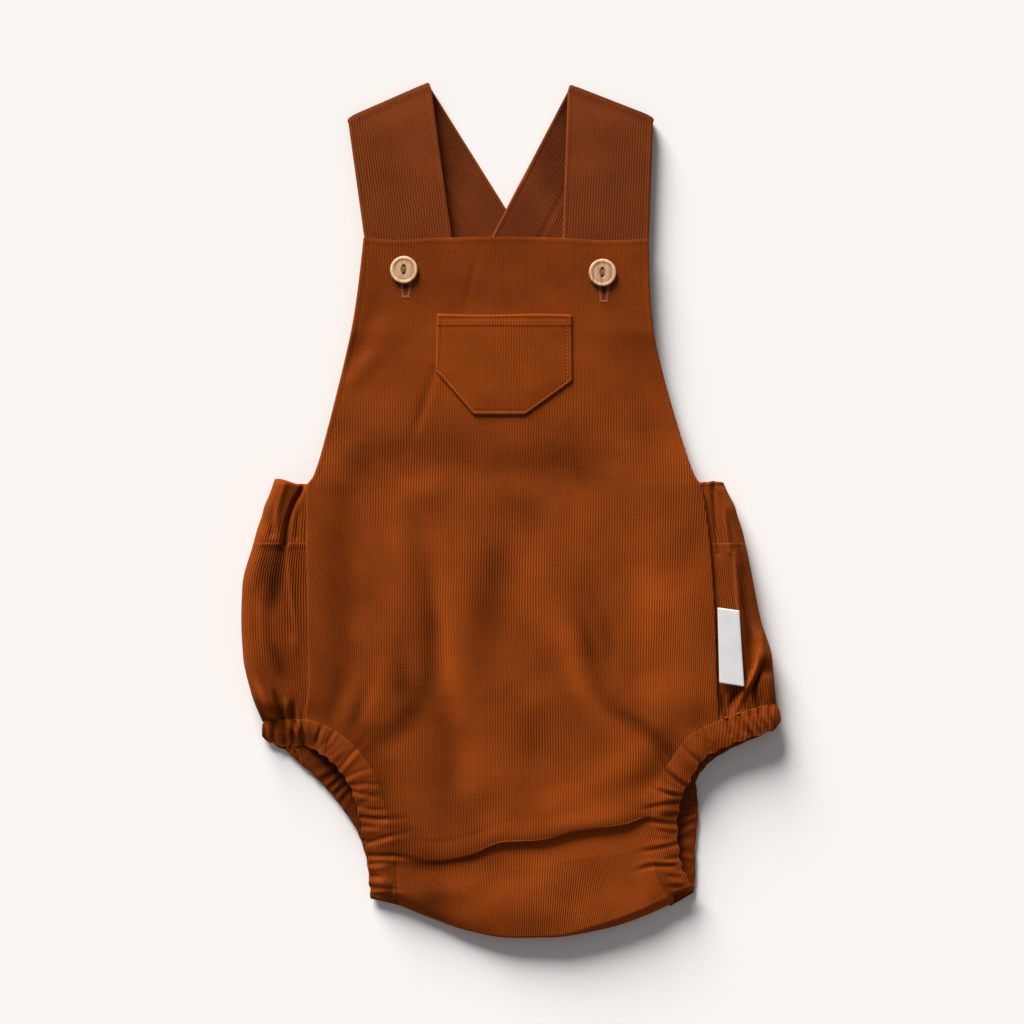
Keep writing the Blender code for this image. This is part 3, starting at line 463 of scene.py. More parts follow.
BIB_FOLDS = pleats(
    (-1, 6, 6, 0.2, 1, (-66, 118), (-76, 100), (-87, 76)),
    (0.7, 5, 5, 0.3, 1, (-68, 90), (-84, 72)),
    (-0.45, 1.6, 1.6, 0.3, 0.5, (-16, 142), (-21, 124), (-25, 108)),
    (-0.9, 1.4, 3, 0.6, 0.1, (-40, 75), (-46, 56), (-54, 33)),
    (0.8, 9, 9, 0.4, 1, (-70, 52), (-80, 30)),
)

# %% [markdown]
# These strokes paint light and shade into the front's colour: painted shade along hollows and
# folds, and painted highlight along ridges, the lip and the flap. Each gives how strongly (below 0
# is painted shade) and how wide, then its line.

# %% Painted light and shade on the front
PAINTED_LIGHT_STROKES = waves(
    0.3, 0.3,
    (-1.2, 8, (-78, 46), (-81, 30), (-84, 14)), (0.5, 13, (86, -38), (89, -90), (86, -128)),
    (-0.9, 5, (-50, -97), (-57, -110), (-66, -122)),
    (-0.8, 6.5, (-68, -158), (-59, -171), (-46, -178)), (-0.6, 7, (-60, -192), (-46, -204)),
    (0.6, 7, (36, -152), (60, -146), (74, -141)),
    (-1.2, 6.4, (-52, -4), (-48, -26), (-44, -47), (-43, -69), (-45, -90), (-50, -106),
     (-60, -117), (-74, -126), (-87, -138)),
    (-0.8, 8, (-40, -100), (-35, -122), (-33, -147), (-36, -163)),
    (-1.2, 5, (50, -50), (52, -68), (51, -88)),
    (1.1, 8, (72, -62), (75, -82), (74, -104), (75, -124)), (1, 5, (90, -112), (95, -122)),
    (0.9, 5, (-30, -99), (-30, -118)), (-0.8, 5, (-84, -120), (-79, -134)),
    (0.8, 6, (-14, -151), (10, -154), (34, -150), (56, -149), (74, -151)),
    (-0.9, 6, (-26, -189), (-10, -189), (6, -189)),
    (-0.4, 14, (-40, 14), (-12, 8), (14, 4), (44, -6)),
    (-1.04, 10.7, (-89, 46), (-92, 22), (-93, -5), (-93, -47), (-94, -90), (-95, -125)),
    (-0.91, 9.1, (-86, -125), (-76, -147), (-65, -166), (-60, -177)),
    (-0.65, 10.7, (-86, 38), (-59, 35), (-30, 35)), (-0.52, 7, (-3, 23), (27, 27), (54, 27)),
    (-0.85, 5.4, (-71, -180), (-54, -188), (-26, -190)), (-0.59, 8, (-49, -198), (-35, -213)),
    (-0.52, 5.9, (47, -198), (49, -208), (37, -217)), (-0.72, 6.4, (69, -215), (84, -206)),
    (1.1, 4.8, (-37, -13), (-39, -29), (-38, -47), (-36, -66), (-34, -82), (-29, -96),
     (-25, -109)),
    (-0.5, 9, (-78, -8), (-76, -39), (-74, -66), (-78, -90)),
    (-1.5, 6, (-60, -72), (-59, -94), (-62, -105)), (0.52, 5.4, (-64, 6), (-53, 12), (-35, 6)),
    (0.65, 5.9, (24, 2), (14, -18), (9, -37), (13, -50), (24, -69), (32, -80)),
    (1, 6, (18, -45), (29, -66), (36, -86), (44, -102)),
    (1.2, 5, (31, -84), (38, -96), (47, -107)),
    (1.1, 5.6, (44, -106), (57, -117), (69, -125), (80, -140)),
    (1.6, 12, (72, -20), (81, -50), (82, -69), (84, -108)),
    (-0.9, 7.5, (12, 15), (32, 18), (56, 14)), (-0.5, 9, (-14, 8), (4, 0), (20, -14)),
    (1, 7, (22, -158), (44, -156), (68, -153)),
    (1.6, 5, (12, -170), (30, -166), (50, -163), (70, -159)),
    (0.9, 8, (-16, -150), (-12, -162), (2, -164)), (1, 5, (106, -90), (106, -112)),
    (0.8, 7, (8, -216), (20, -213), (32, -213)), (-0.9, 7, (-46, -190), (-42, -200), (-34, -212)),
    (0.52, 10.7, (97, -23), (97, -96)),
    (0.85, 9.1, (18, -163), (28, -149), (48, -141), (70, -133)),
    (0.39, 10.7, (-22, -122), (-6, -144), (-3, -163)),
    (0.45, 8.6, (-16, -200), (13, -193), (35, -198)), (-0.6, 5.9, (58, -196), (67, -198)),
) + waves(
    0.5, 0.5,
    (-0.45, 15, (-62, 37), (0, 31), (66, 30)),
) + waves(
    0.2, 0.3,
    (-0.9, 9, (-4, 0), (-9, -22), (-11, -44), (-9, -66), (-6, -84)),
    (-1.3, 4.2, (34, -48), (39, -62), (43, -79), (46, -94)),
    (-1.5, 4, (46, -93), (54, -105), (69, -113), (77, -120), (87, -132), (95, -148)),
) + waves(
    0.3, 0.4,
    (-0.7, 3.6, (-101, -118), (-96, -104), (-91, -86)),
    (0.9, 3.2, (-95, -120), (-89, -104), (-82, -86)),
) + waves(
    0.2, 0.4,
    (-1, 2.6, (-89, -122), (-83, -109), (-79, -96)),
    (1, 3.2, (-83, -122), (-78, -110), (-72, -94), (-69, -80)),
) + waves(
    0.2, 0.2,
    (1.3, 7.5, (56, -124), (72, -136), (78, -150)),
)

# %% [markdown]
# ## Gathers round the legs
#
# Elastic in the leg casings bunches the cloth: short dark wrinkles run across the casing, some
# of them out into the panel. They are uneven in length, depth and spacing.

# %% Gathers of the leg casings, seen on the front
PUFF_OFF = 1.9


def gathers(*rows):
    """Creases from rows of a depth and the points of the line, which starts on the casing. Each
    is a thin trough, with a small puff of cloth beside it."""
    made = []
    for depth, *places in rows:
        way = np.subtract(places[-1], places[0])
        beside = np.array([way[1], -way[0]]) / math.hypot(*way) * PUFF_OFF
        made.append(Crease(-0.62 * depth, 1.1, 1.9, 1.0, 0.1, places))
        made.append(Crease(0.42 * depth, 1.7, 1.7, 0.9, 0.0, np.array(places) + beside))
    return made


LEG_GATHERS = gathers(
    (0.9, (-94, -141), (-86, -131), (-79, -123), (-74, -115)),
    (0.55, (-91, -144), (-80, -139), (-71, -137)), (0.6, (-88, -147), (-79, -146), (-66, -147)),
    (0.8, (-85, -150), (-76, -152), (-69, -153)), (0.7, (-81, -158), (-72, -160), (-64, -160)),
    (1.2, (-80, -164), (-68, -165), (-52, -164)), (0.7, (-78, -169), (-70, -170)),
    (1, (-76, -177.5), (-64, -174), (-50, -171)), (1.2, (-77, -184.6), (-65, -184.6), (-52, -186)),
    (0.8, (-76, -189.5), (-65, -188)), (0.7, (-75, -196), (-67, -196.5)),
    (0.8, (-75, -201.5), (-66, -202.5), (-56, -203)), (0.6, (-73, -207), (-64, -204.5)),
    (1.1, (96, -148.5), (90, -145), (83, -138.6), (77, -124)),
    (0.9, (102, -135), (94, -128), (90, -120)), (0.8, (107, -128), (101, -120), (99, -112)),
    (1.2, (93, -153), (83, -151), (74, -147)), (1.1, (91, -156), (80, -157.5), (68, -160)),
    (0.8, (89, -163), (79, -163)), (1, (90, -168), (78, -166.5), (66, -165)),
    (0.8, (88, -172.5), (77, -171)), (1.1, (90, -178.5), (78, -181), (66, -183)),
    (0.8, (89, -186), (79, -187)), (1.3, (88, -190), (77, -190), (64, -194)),
    (0.7, (90, -196), (82, -195)), (0.7, (92, -202), (84, -200.5)),
)
print(len(BELLY_FOLDS) + len(BIB_FOLDS), "broad folds and", len(LEG_GATHERS), "leg gathers")

# %% [markdown]
# ## The leg seams
#
# Each leg casing is a hem with elastic in it. Its seam runs up the front of the leg opening,
# round the outer fold and down the back to the crotch. Each row is x, y, z and the direction
# away from the panel, in degrees from +X. The fold itself has no z, as it turns from the front's
# height to the back's.

# %% The leg seams' measures
CASING_WIDTH = 12.4
CASING_THICK = 3.2
RING_STEP = 0.6

LEG_FRONTS = {
    "left": (
        (-62.5, -211, 3, 168), (-63, -199, 3.9, 180), (-63.8, -186, 6.2, 181),
        (-67.3, -166, 8.4, 191), (-73, -145, 9.8, 205), (-84.5, -127.5, 10.6, 228),
        (-96, -118.5, 10.8, 246), (-110.6, -113.4, 8.4, 262), (-122, -113.5, 5.4, 266),
    ),
    "right": (
        (86.4, -206.3, 8.4, 20), (80, -195, 8.7, 12), (77.6, -184, 8.5, -1), (76.6, -166, 8.2, -6),
        (79.7, -149.5, 9, -22), (86.4, -136, 10.4, -38), (97, -121.6, 10.8, -60),
        (112, -113.8, 10.2, -73), (126, -108.8, 10.8, -76), (134, -106.4, 10.8, -80),
    ),
}
LEG_FOLDS = {"left": (-131.0, -113.6, -90), "right": (138.4, -105.4, -84)}
LEG_BACKS = {
    "left": (
        (-122, -114.6, 1.6, 262), (-107, -124.4, 1.6, 240), (-91, -138.8, 1.6, 227),
        (-79, -153.6, 1.6, 214), (-69.4, -170, 1.6, 202), (-64.2, -189, 1.6, 185),
        (-62.5, -209.8, 1.6, 166),
    ),
    "right": (
        (130, -108.8, 1.6, -72), (111.5, -117, 1.6, -66), (97, -127, 1.6, -46),
        (87.6, -143, 1.6, -18), (88, -163, 1.6, 0), (86.4, -182, 1.6, 1), (87.4, -211.6, 1.6, 30),
    ),
}


# %% The smooth seam line of each leg
SIGNS = {"left": -1.0, "right": 1.0}


def leg_path(side):
    """A leg seam's measures all the way, with a half circle of them at the outer fold."""
    fold_x, fold_y, fold_out = LEG_FOLDS[side]
    top, bottom = LEG_FRONTS[side][-1][2], LEG_BACKS[side][0][2]
    radius = (top - bottom) / 2.0
    turn = [
        (fold_x + SIGNS[side] * radius * math.sin(angle), fold_y,
         (top + bottom) / 2.0 + radius * math.cos(angle), fold_out)
        for angle in np.linspace(0.0, math.pi, 5)
    ]
    path = np.array([*LEG_FRONTS[side], *turn, *LEG_BACKS[side]], float)
    path[:, 3] -= 360.0 * (path[:, 3] > 90.0)
    return path


def spaced(path, step):
    """The path as smooth points about a step apart, with the length up to each one."""
    lengths = running(np.linalg.norm(np.diff(path[:, :3], axis=0), axis=1))
    places = np.linspace(0.0, lengths[-1], round(lengths[-1] / step) + 1)
    return places, together(*(smooth_through(lengths, column, places) for column in path.T))


LEG_LINES = {side: spaced(leg_path(side), RING_STEP) for side in SIGNS}
OUTERMOST = {side: int(np.argmax(np.abs(line[:, 0]))) for side, (_, line) in LEG_LINES.items()}
for side, (places, _) in LEG_LINES.items():
    print(f"The {side} leg seam is {places[-1]:.0f} mm long")


def leg_edge(side, part, y):
    """The x at which the front or the back meets a leg casing, at y."""
    line, outermost = LEG_LINES[side][1], OUTERMOST[side]
    half = line[:outermost] if part == "front" else line[outermost + 1 :]
    half = half[half[:, 1] <= LEG_SEAM_Y]
    order = np.argsort(half[:, 1])
    return np.interp(y, half[order, 1], half[order, 0])


def nearest_casing(x, y):
    """How far points lie from the leg seams on the front, and the seam's z there."""
    nearest, seam_z = np.full(x.shape, 1e3), np.zeros(x.shape)
    close = y < LEG_SEAM_Y + 4 * CASING_PULL
    px, py = x[close], y[close]
    for side in SIGNS:
        line = LEG_LINES[side][1][: OUTERMOST[side] : 3]
        for start, end in zip(line, line[1:]):
            away, share, _, _ = from_run(px, py, start, end)
            closer = away < nearest[close]
            nearest[close] = np.where(closer, away, nearest[close])
            seam_z[close] = np.where(closer, blend(start[2], end[2], share), seam_z[close])
    return nearest, seam_z


# %% [markdown]
# ## The front, bib and belly in one
#
# On the real romper this is one shaped panel. It lies flat over the straps as a bib, swells over
# the belly, and buckles above the crotch into one deep fold that hangs over itself. A height
# field can't overhang, so the rows of points follow the cloth instead: level rows down to the
# legs, then rows that slant into the fold, go round its lip, back under it, and out again as the
# flap that ends at the crotch.

# %% The front's surface
CLOTH_THICK = 1.2
# Strength of the painted highlight along turned and rounded edges.
EDGE_HIGHLIGHT = 0.9
BIB_TOP_Y = 146.0
BELLY_TOP_Y = 13.0


def ripple(x, y, size=17.0):
    """Slow uneven waves, about 1 high at most, that keep flat cloth from looking ironed."""
    x, y = np.asarray(x) / size, np.asarray(y) / size
    waves = np.sin(x + 1.7 * np.sin(0.6 * y + 0.4)) * np.cos(0.8 * y - 1.1 * np.sin(0.5 * x))
    return 0.6 * waves + 0.4 * np.sin(2.1 * x - 1.3 * y + 0.7) * np.cos(1.7 * y + 0.9 * x)


def front_height(x, y):
    """The front's top face, above the fold."""
    x, y = np.broadcast_arrays(np.asarray(x, float), np.asarray(y, float))
    left, right = FRONT("left", y), FRONT("right", y)
    across = np.clip((x - left) / (right - left), 0.0, 1.0)
    full = 1.0 - np.abs(2.0 * across - 1.0) ** FRONT("full", y)
    sides = blend(FRONT("z_left", y), FRONT("z_right", y), across)
    height = blend(sides, FRONT("z_mid", y), full)
    height = height + creased(x, y, BELLY_FOLDS) * ease(full * EDGE_FADE)
    away, seam_z = nearest_casing(x, y)
    pull = hill(away, CASING_PULL)
    height = blend(height, seam_z + WALL / 2.0, pull)
    height = no_lower(height, blend(FRONT("floor", y), 0.0, pull))
    return height + 0.22 * ripple(x, y) * ease(full * EDGE_FADE) + creased(x, y, BIB_FOLDS)


def front_edges(y):
    left = np.maximum(leg_edge("left", "front", y), FRONT("left", LEG_SEAM_Y))
    right = np.minimum(leg_edge("right", "front", y), FRONT("right", LEG_SEAM_Y))
    above = y > LEG_SEAM_Y
    return np.where(above, FRONT("left", y), left), np.where(above, FRONT("right", y), right)


def level_part(y, x):
    rise = BIB_TOP("rise", x) * ease((y - 126.0) / 20.0)
    return y + rise, front_height(x, y)


def slope_part(share, x):
    y = blend(ABOVE_LIP_Y, LIP("y", x) + LIP_REACH, share)
    return y, blend(front_height(x, y), LIP("crest", x), ease(share * 0.8))


def lip_part(step, x):
    """The rows over the fold's lip, between those of a plain slope and those of a full fold."""
    folded = LIP("share", x)
    ahead = blend(LIP_ROWS("slope_ahead", step), LIP_ROWS("fold_ahead", step), folded)
    drop = blend(LIP_ROWS("slope_drop", step), LIP_ROWS("fold_drop", step), folded)
    return LIP("y", x) - ahead, blend(LIP("crest", x), LIP("flap", x), drop)


def flap_part(share, x):
    y = blend(LIP("y", x) - LIP_REACH, CROTCH("front_y", x), share)
    wave = 0.8 * np.sin(x / 13.0 + 0.8) * np.sin(math.pi * share) ** 2
    return y, blend(LIP("flap", x), CROTCH("z", x), share**3) + wave


# %% The front's grid of points
FRONT_COLUMNS = 140
EDGE_CROWDING = 0.4
steps = np.linspace(0.0, 1.0, FRONT_COLUMNS)
column_shares = steps - EDGE_CROWDING * np.sin(2 * math.pi * steps) / (2 * math.pi)
FRONT_PARTS = (
    (level_part, np.linspace(BIB_TOP_Y, BELLY_TOP_Y, 84)),
    (level_part, np.linspace(BELLY_TOP_Y, ABOVE_LIP_Y, 120)[1:]),
    (slope_part, np.linspace(0.0, 1.0, 30)[1:]),
    (lip_part, np.linspace(0.0, 10.0, 46)[1:]),
    (flap_part, np.linspace(0.0, 1.0, 34)[1:]),
)


def front_rows(part, values):
    """The points of some rows. Each row's ends are found in a few rounds, since where the edge
    is depends on y, and y on x."""
    values = values[:, None]
    ends = []
    for side in (0, 1):
        x = np.zeros_like(values)
        for _ in range(10):
            x = front_edges(part(values, x)[0])[side]
        ends.append(x)
    x = blend(ends[0], ends[1], column_shares[None, :])
    return together(x, *part(np.broadcast_to(values, x.shape), x))


front = np.concatenate([front_rows(part, values) for part, values in FRONT_PARTS])
front_length = running(np.linalg.norm(np.diff(front, axis=0), axis=2))
print("The front is", front.shape, "points; its middle is", round(front_length[-1, 70]), "mm long")


# %% [markdown]
# The bib's free edges are turned and stitched, so they stand up as a thin round rim with a slight
# hollow beside it. The wales run straight down the panel, but near the side seams they lean in
# where the cloth is drawn, and on the flap under the fold they swing towards the crotch.

# %% The front panel
def edge_roll(away):
    """The lift of a turned edge, from how far inside the edge a point lies."""
    return 0.12 * hill(away - 1.0, 0.9) - 0.12 * hill(away - 3.0, 0.9)


def wale_lean(x, y):
    """How far the cloth's wales are drawn sideways."""
    down = np.maximum(10.0 - y, 0.0)
    left = 0.18 * down * hill(x + 109.0, 20.0)
    right = 0.08 * down * hill(x - 110.0, 20.0)
    flap = np.maximum(LIP("y", x) - 4.0 - y, 0.0)
    swing = 0.34 * hill(x + 62.0, 45.0) - 0.30 * hill(x - 70.0, 45.0)
    return left - right + flap * swing + 0.7 * ripple(x, y, 34.0)


x, y, z = np.moveaxis(front, -1, 0)
left, right = front_edges(y)
from_top = BIB_TOP_Y + BIB_TOP("rise", x) - y
z = z + ease((y - 10.0) / 8.0) * (edge_roll(x - left) + edge_roll(right - x))
z = z + edge_roll(from_top) * ease((y - 138.0) / 3.0)
z = z + creased(x, y, LEG_GATHERS)

steps_down = np.full(len(front), -10.0)
first_lip_row = sum(len(values) for _, values in FRONT_PARTS[:3])
steps_down[first_lip_row : first_lip_row + len(FRONT_PARTS[3][1])] = FRONT_PARTS[3][1]
steps_down = steps_down[:, None]
folded = LIP("share", x)
# Painted light and shade on the front: the strokes, painted shade and highlight in the leg gathers,
# darker towards the bib's top, a painted highlight along the side edges, painted shade along the
# bib's top edge, a painted highlight on the lip of the fold, painted light in the hollow under it,
# a painted highlight on the crotch edge and a lighter flap.
lie = np.clip(creased(x, y, PAINTED_LIGHT_STROKES) + 0.5 * creased(x, y, LEG_GATHERS), -1.6, 1.6)
lie = lie - 0.45 * ease((y - 92.0) / 30.0)
lie = lie + 0.3 * EDGE_HIGHLIGHT * hill(np.minimum(x - left, right - x), 0.9) * ease((y + 112.0) / 4.0)
lie = lie - 0.7 * hill(from_top, 0.9)
lie = lie + 1.1 * folded * hill(steps_down - 2.6, 0.4)
lie = lie + 1.3 * folded * hill(steps_down - 8.0, 2.4)
lie = lie + EDGE_HIGHLIGHT * hill(y - CROTCH("front_y", x), 0.8) + 0.5 * ease((LIP("y", x) - y) / 5.0)
front_cloth = together(x - wale_lean(x, y), BIB_TOP_Y - front_length)
front_panel = sheet_of("romper_front", together(x, y, z), CLOTH_THICK, front_cloth, lie)


# %% [markdown]
# ## The back and its side strips
#
# The back is wider than the front. Its sides wrap round and come up over the front as strips,
# which end in the side seams. So its cross section is a flat C: strip, round fold, underside,
# round fold, strip. Elastic in the doubled waist casing draws the top of each strip into pleats.

# %% The back's measures
WAIST_THICK = 2.6
WAIST_BOTTOM_Y = -18.0
WAIST_LAP = 0.9
LAP_UNDER_FRONT = 3.0

SIDES = table(
    "y fold_left seam_left seam_right fold_right height z_seam",
    (17.4, -126.6, -108.9, 101.6, 113.6, 11.4, 8.8),
    (0, -133, -109.2, 104.8, 121.4, 12, 9.7),
    (-18, -138.4, -109.1, 106.8, 126.4, 13, 9.9),
    (-40, -144, -108.9, 108.6, 130.8, 14, 10),
    (-58, -144.6, -108.6, 109.6, 134.4, 14.2, 10),
    (-78, -143.6, -108.3, 110.3, 140.4, 14.2, 10),
    (-97, -139.4, -108.4, 110.7, 142.2, 13.4, 9.4),
    (-114, -133.2, -110.4, 111.7, 144.4, 12.2, 8.6),
)
WAIST_TOP = table(
    "x y",
    (-132, 12.4), (-126.5, 17.2), (-112.4, 13.8), (-100, 16.4), (95, 16.4), (102, 14.8),
    (114, 15.6), (119, 12),
)

# %% The pleats of the strips
LEFT_PLEATS = pleats(
    (-3.2, 1.6, 1, 1, 0.9, (-111, 14), (-117.1, 3), (-119.8, -6.4), (-120.9, -17.4)),
    (1.5, 2.4, 1.6, 0.9, 0.6, (-121.7, 14), (-125.2, -0.8), (-123.8, -17)),
    (-1.3, 1.7, 1.7, 1, 1, (-127.6, 11), (-129.1, -0.8), (-128, -12)),
    (0.7, 1.6, 1.6, 1, 1, (-132.6, 2), (-134.6, -14)),
    (-0.7, 1.2, 1.2, 0.2, 1, (-113.4, 4), (-114.4, -14)),
    (-1.9, 4.2, 4.2, 0.8, 0, (-122.6, -21), (-124.4, -35), (-126.4, -49), (-127.6, -62)),
    (-0.9, 4, 4, 0.5, 0, (-130.4, -22), (-131.4, -34), (-130.6, -46)),
    (1.1, 2, 1.4, 0.8, 0.1, (-119.4, -19), (-119, -31), (-117.4, -46), (-114.8, -61),
     (-111.6, -76)),
    (0.8, 2.6, 2.6, 0, 0.1, (-134.6, -40), (-133, -58), (-131.2, -76)),
    (-1.2, 3, 3, 0.1, 0.2, (-129.4, -66), (-122, -87), (-118.4, -98)),
    (0.8, 2.4, 2.4, 0.1, 0.1, (-117.4, -64), (-113.6, -80)),
    (1.6, 1.8, 2.2, 0.1, 1, (-138.8, -85), (-132.6, -99), (-127.2, -113)),
    (-1.7, 1, 1.8, 0.1, 1, (-136.8, -95), (-132.4, -112)),
    (-1.5, 1.6, 1.2, 0.1, 1, (-127.2, -93), (-122.4, -112)),
    (1, 1.4, 1.4, 0.1, 1, (-120.2, -98), (-119.2, -112)),
    (-1.2, 1.2, 1.2, 0.1, 1, (-117.2, -100), (-116.2, -113)),
)
RIGHT_PLEATS = pleats(
    (-1.9, 0.8, 1.8, 1, 0.5, (103.6, 14), (105.8, -5), (108.4, -22)),
    (-1.7, 0.8, 1.6, 1, 0.5, (109, 14), (110.4, -8), (111.8, -22)),
    (1.3, 1.5, 1.1, 0.9, 0.6, (114, 14), (115.6, -6), (117.3, -22)),
    (-2.9, 1.2, 2.6, 1, 0.8, (115.8, 14), (119.6, -7), (123.2, -22)),
    (0.7, 1.5, 1.5, 1, 1, (122.6, 0), (126.6, -18)),
    (-0.9, 0.9, 1.6, 0.6, 0.1, (108.6, -24), (109.6, -48)),
    (1.5, 2, 1, 0.8, 0.4, (120, -23), (121.7, -51), (123.2, -63), (124.8, -84)),
    (-2.6, 1.4, 2.6, 0.8, 0.4, (123.4, -24), (125.8, -50), (128.6, -68), (128.4, -84)),
    (2.3, 2, 1.6, 0.2, 1, (131.4, -52), (133.7, -64), (133.2, -77), (129.8, -88), (123.8, -99),
     (119.6, -113)),
    (-2.4, 1.1, 2, 0.4, 1, (135.7, -60), (136.4, -75), (134.4, -85), (131.2, -95), (133.2, -110)),
    (1.5, 1.8, 1.4, 0.2, 1, (138.4, -66), (140.4, -83), (137, -95), (138.4, -108)),
    (1.2, 1.3, 1.1, 0.2, 1, (129, -96), (127.2, -110)),
    (-1.9, 1.2, 1.4, 0.2, 1, (124, -92), (119.6, -99), (115.4, -111)),
    (-1.6, 1.2, 1, 0.2, 1, (112.4, -95), (114.2, -112)),
    (-1.3, 1, 1, 0.1, 1, (140.4, -98), (141.6, -108)),
)
HIP_GATHERS = gathers(
    (1.6, (-133, -125), (-132, -116), (-133.4, -104)),
    (1.2, (-128.2, -125), (-127, -115), (-127.4, -108)),
    (1.8, (-121, -125), (-121.4, -115), (-123, -100)),
    (2, (-117, -125), (-116.2, -114), (-115.4, -100)),
    (1.5, (-111.6, -124), (-111.4, -114), (-112.2, -106)),
    (1.6, (-104, -123), (-101, -114), (-99, -104)), (1.2, (-98, -124), (-94, -116), (-91, -108)),
    (1.5, (106, -124), (102.4, -116), (98, -106)), (1.8, (118, -119), (115.4, -108), (114.4, -96)),
    (2.2, (129.4, -121), (123.4, -111), (119.6, -101)), (1.5, (125, -118), (119.6, -109)),
    (1.8, (133.6, -119), (128.6, -109), (127.4, -98)),
    (1.8, (138, -118), (133.4, -109), (134, -96)), (1.6, (142.6, -117), (139, -108), (139.4, -96)),
)

# %% The wrapped surface
STRIP_STEPS, TURN_STEPS, UNDER_STEPS = 44, 16, 40
PLEATS = {"left": LEFT_PLEATS, "right": RIGHT_PLEATS}


def strip_height(side, x, y):
    """The top face of a side strip, between its seam and its outer fold."""
    height, seam, fold = (SIDES(column, y) for column in ("height", "seam_" + side, "fold_" + side))
    across = (x - seam) / (fold - SIGNS[side] * height / 2.0 - seam)
    base = blend(SIDES("z_seam", y), height, ease(across))
    taper = ease(across * 3.0 + 0.15) * ease((1.25 - across) * 2.5)
    base = base + creased(x, y, PLEATS[side]) * taper
    away, seam_z = nearest_casing(x, y)
    return blend(base, seam_z + WALL / 2.0, hill(away, 6.0)) + creased(x, y, HIP_GATHERS)


def wrapped_side(side, strip, turn, y):
    """x and z of points over a strip (its share 0 to 1 from the seam), then round its fold."""
    height, seam, fold = (SIDES(column, y) for column in ("height", "seam_" + side, "fold_" + side))
    sign = SIGNS[side]
    x = blend(seam - sign * LAP_UNDER_FRONT, fold - sign * height / 2.0, strip)
    z = blend(strip_height(side, x, y), 0.0, (1.0 - np.cos(turn)) / 2.0)
    scallop = 0.22 * np.sin(y / 2.9 + 1.2 * np.sin(y / 7.0)) * hill(y - 8.0, 22.0)
    return x + sign * (height / 2.0 + scallop) * np.sin(turn), z


def wrapped_sheet(rows, y_at):
    """Points right round the back, and their flat places on the cloth. y_at gives the y of a
    row, from its share of the way down, at any x."""
    share = np.linspace(0.0, 1.0, rows)[:, None]
    strip = np.concatenate([np.linspace(0.0, 1.0, STRIP_STEPS), np.ones(TURN_STEPS)])[None, :]
    turn = np.linspace(0.0, math.pi, TURN_STEPS + 1)[1:]
    turn = np.concatenate([np.zeros(STRIP_STEPS), turn])[None, :]
    sides = {}
    for side, sign in SIGNS.items():
        x = np.full((rows, strip.size), 120.0 * sign)
        for _ in range(5):
            y = y_at(share, x)
            x, z = wrapped_side(side, strip, turn, y)
        sides[side] = together(x, y, z)
    ends = sides["left"][:, -1:, 0], sides["right"][:, -1:, 0]
    x = blend(*ends, np.linspace(0.0, 1.0, UNDER_STEPS + 1)[None, 1:-1])
    under = together(x, y_at(share, x), 0.0)
    points = np.concatenate([sides["left"], under, sides["right"][:, ::-1]], axis=1)
    across = running(np.linalg.norm(np.diff(points[rows // 2], axis=0), axis=1))
    return points, across[None, :]


def strip_end_y(x):
    """The leg seam across the side strips and under the back."""
    near_x, (fold_x, fold_y, _) = LEG_FRONTS["right"][-3][0], LEG_FOLDS["right"]
    share = np.clip((x - near_x) / (fold_x - near_x), 0.0, 1.2)
    return blend(LEG_SEAM_Y, fold_y, share) + GAP * (share > 0)


# %% The back panel
STRIP_TOP_Y = WAIST_BOTTOM_Y + WAIST_LAP
STRIP_ROWS = 110
LOWER_ROWS, LOWER_COLUMNS, RISING_ROWS = 56, 48, 13
ON_TOP_Z = 4.0


def strip_row(share, x):
    return blend(STRIP_TOP_Y, strip_end_y(x), share)


wrapped, across = wrapped_sheet(STRIP_ROWS, strip_row)
x, y, z = np.moveaxis(wrapped, -1, 0)
z += 0.25 * ripple(x, y, 11.0) * (z > ON_TOP_Z)
z += 0.35 * hill(STRIP_TOP_Y - y, 2.0) * (z > ON_TOP_Z)
wrapped_cloth = together(across, y)


def lower_back():
    """The layer below the leg seams: flat on the table from the fold line down, then up round
    the crotch to its seam under the front's edge."""
    share = np.linspace(0.0, 1.0, LOWER_ROWS)[:, None]
    across = np.linspace(0.0, 1.0, LOWER_COLUMNS)[None, :]
    tops, lows = zip(*((LEG_BACKS[side][0][1], LEG_BACKS[side][-1][1]) for side in SIGNS))
    left_y, right_y = (blend(top, low, share) for top, low in zip(tops, lows))
    x = blend(leg_edge("left", "back", left_y), leg_edge("right", "back", right_y), across)
    bulge = CROTCH("back_y", x) + 2.6 - blend(*lows, across)
    y = blend(left_y, right_y, across) + bulge * share**2
    way = np.linspace(0.0, 1.0, RISING_ROWS + 1)[1:, None]
    up_x = np.repeat(x[-1:], RISING_ROWS, axis=0)
    up_y = blend(y[-1:], CROTCH("front_y", up_x) + 1.0, way**1.6)
    up_y = up_y - 2.7 * np.sin(math.pi * np.minimum(way * 1.15, 1.0))
    up_z = (CROTCH("z", up_x) - CLOTH_THICK - 0.4) * ease(way)
    return np.concatenate([together(x, y, 0.0), together(up_x, up_y, up_z)])


flat_back = lower_back()
x, y, _ = np.moveaxis(flat_back, -1, 0)
flat_cloth = together(x - 0.55 * y, y)
back_points = np.concatenate([wrapped.reshape(-1, 3), flat_back.reshape(-1, 3)])
back_quads = np.concatenate(
    [grid_quads(*wrapped.shape[:2]), grid_quads(*flat_back.shape[:2]) + wrapped[..., 0].size]
)[:, ::-1]
back_corners = np.concatenate([grid_corners(wrapped_cloth), grid_corners(flat_cloth)])[:, ::-1]
x, y, z = back_points.T
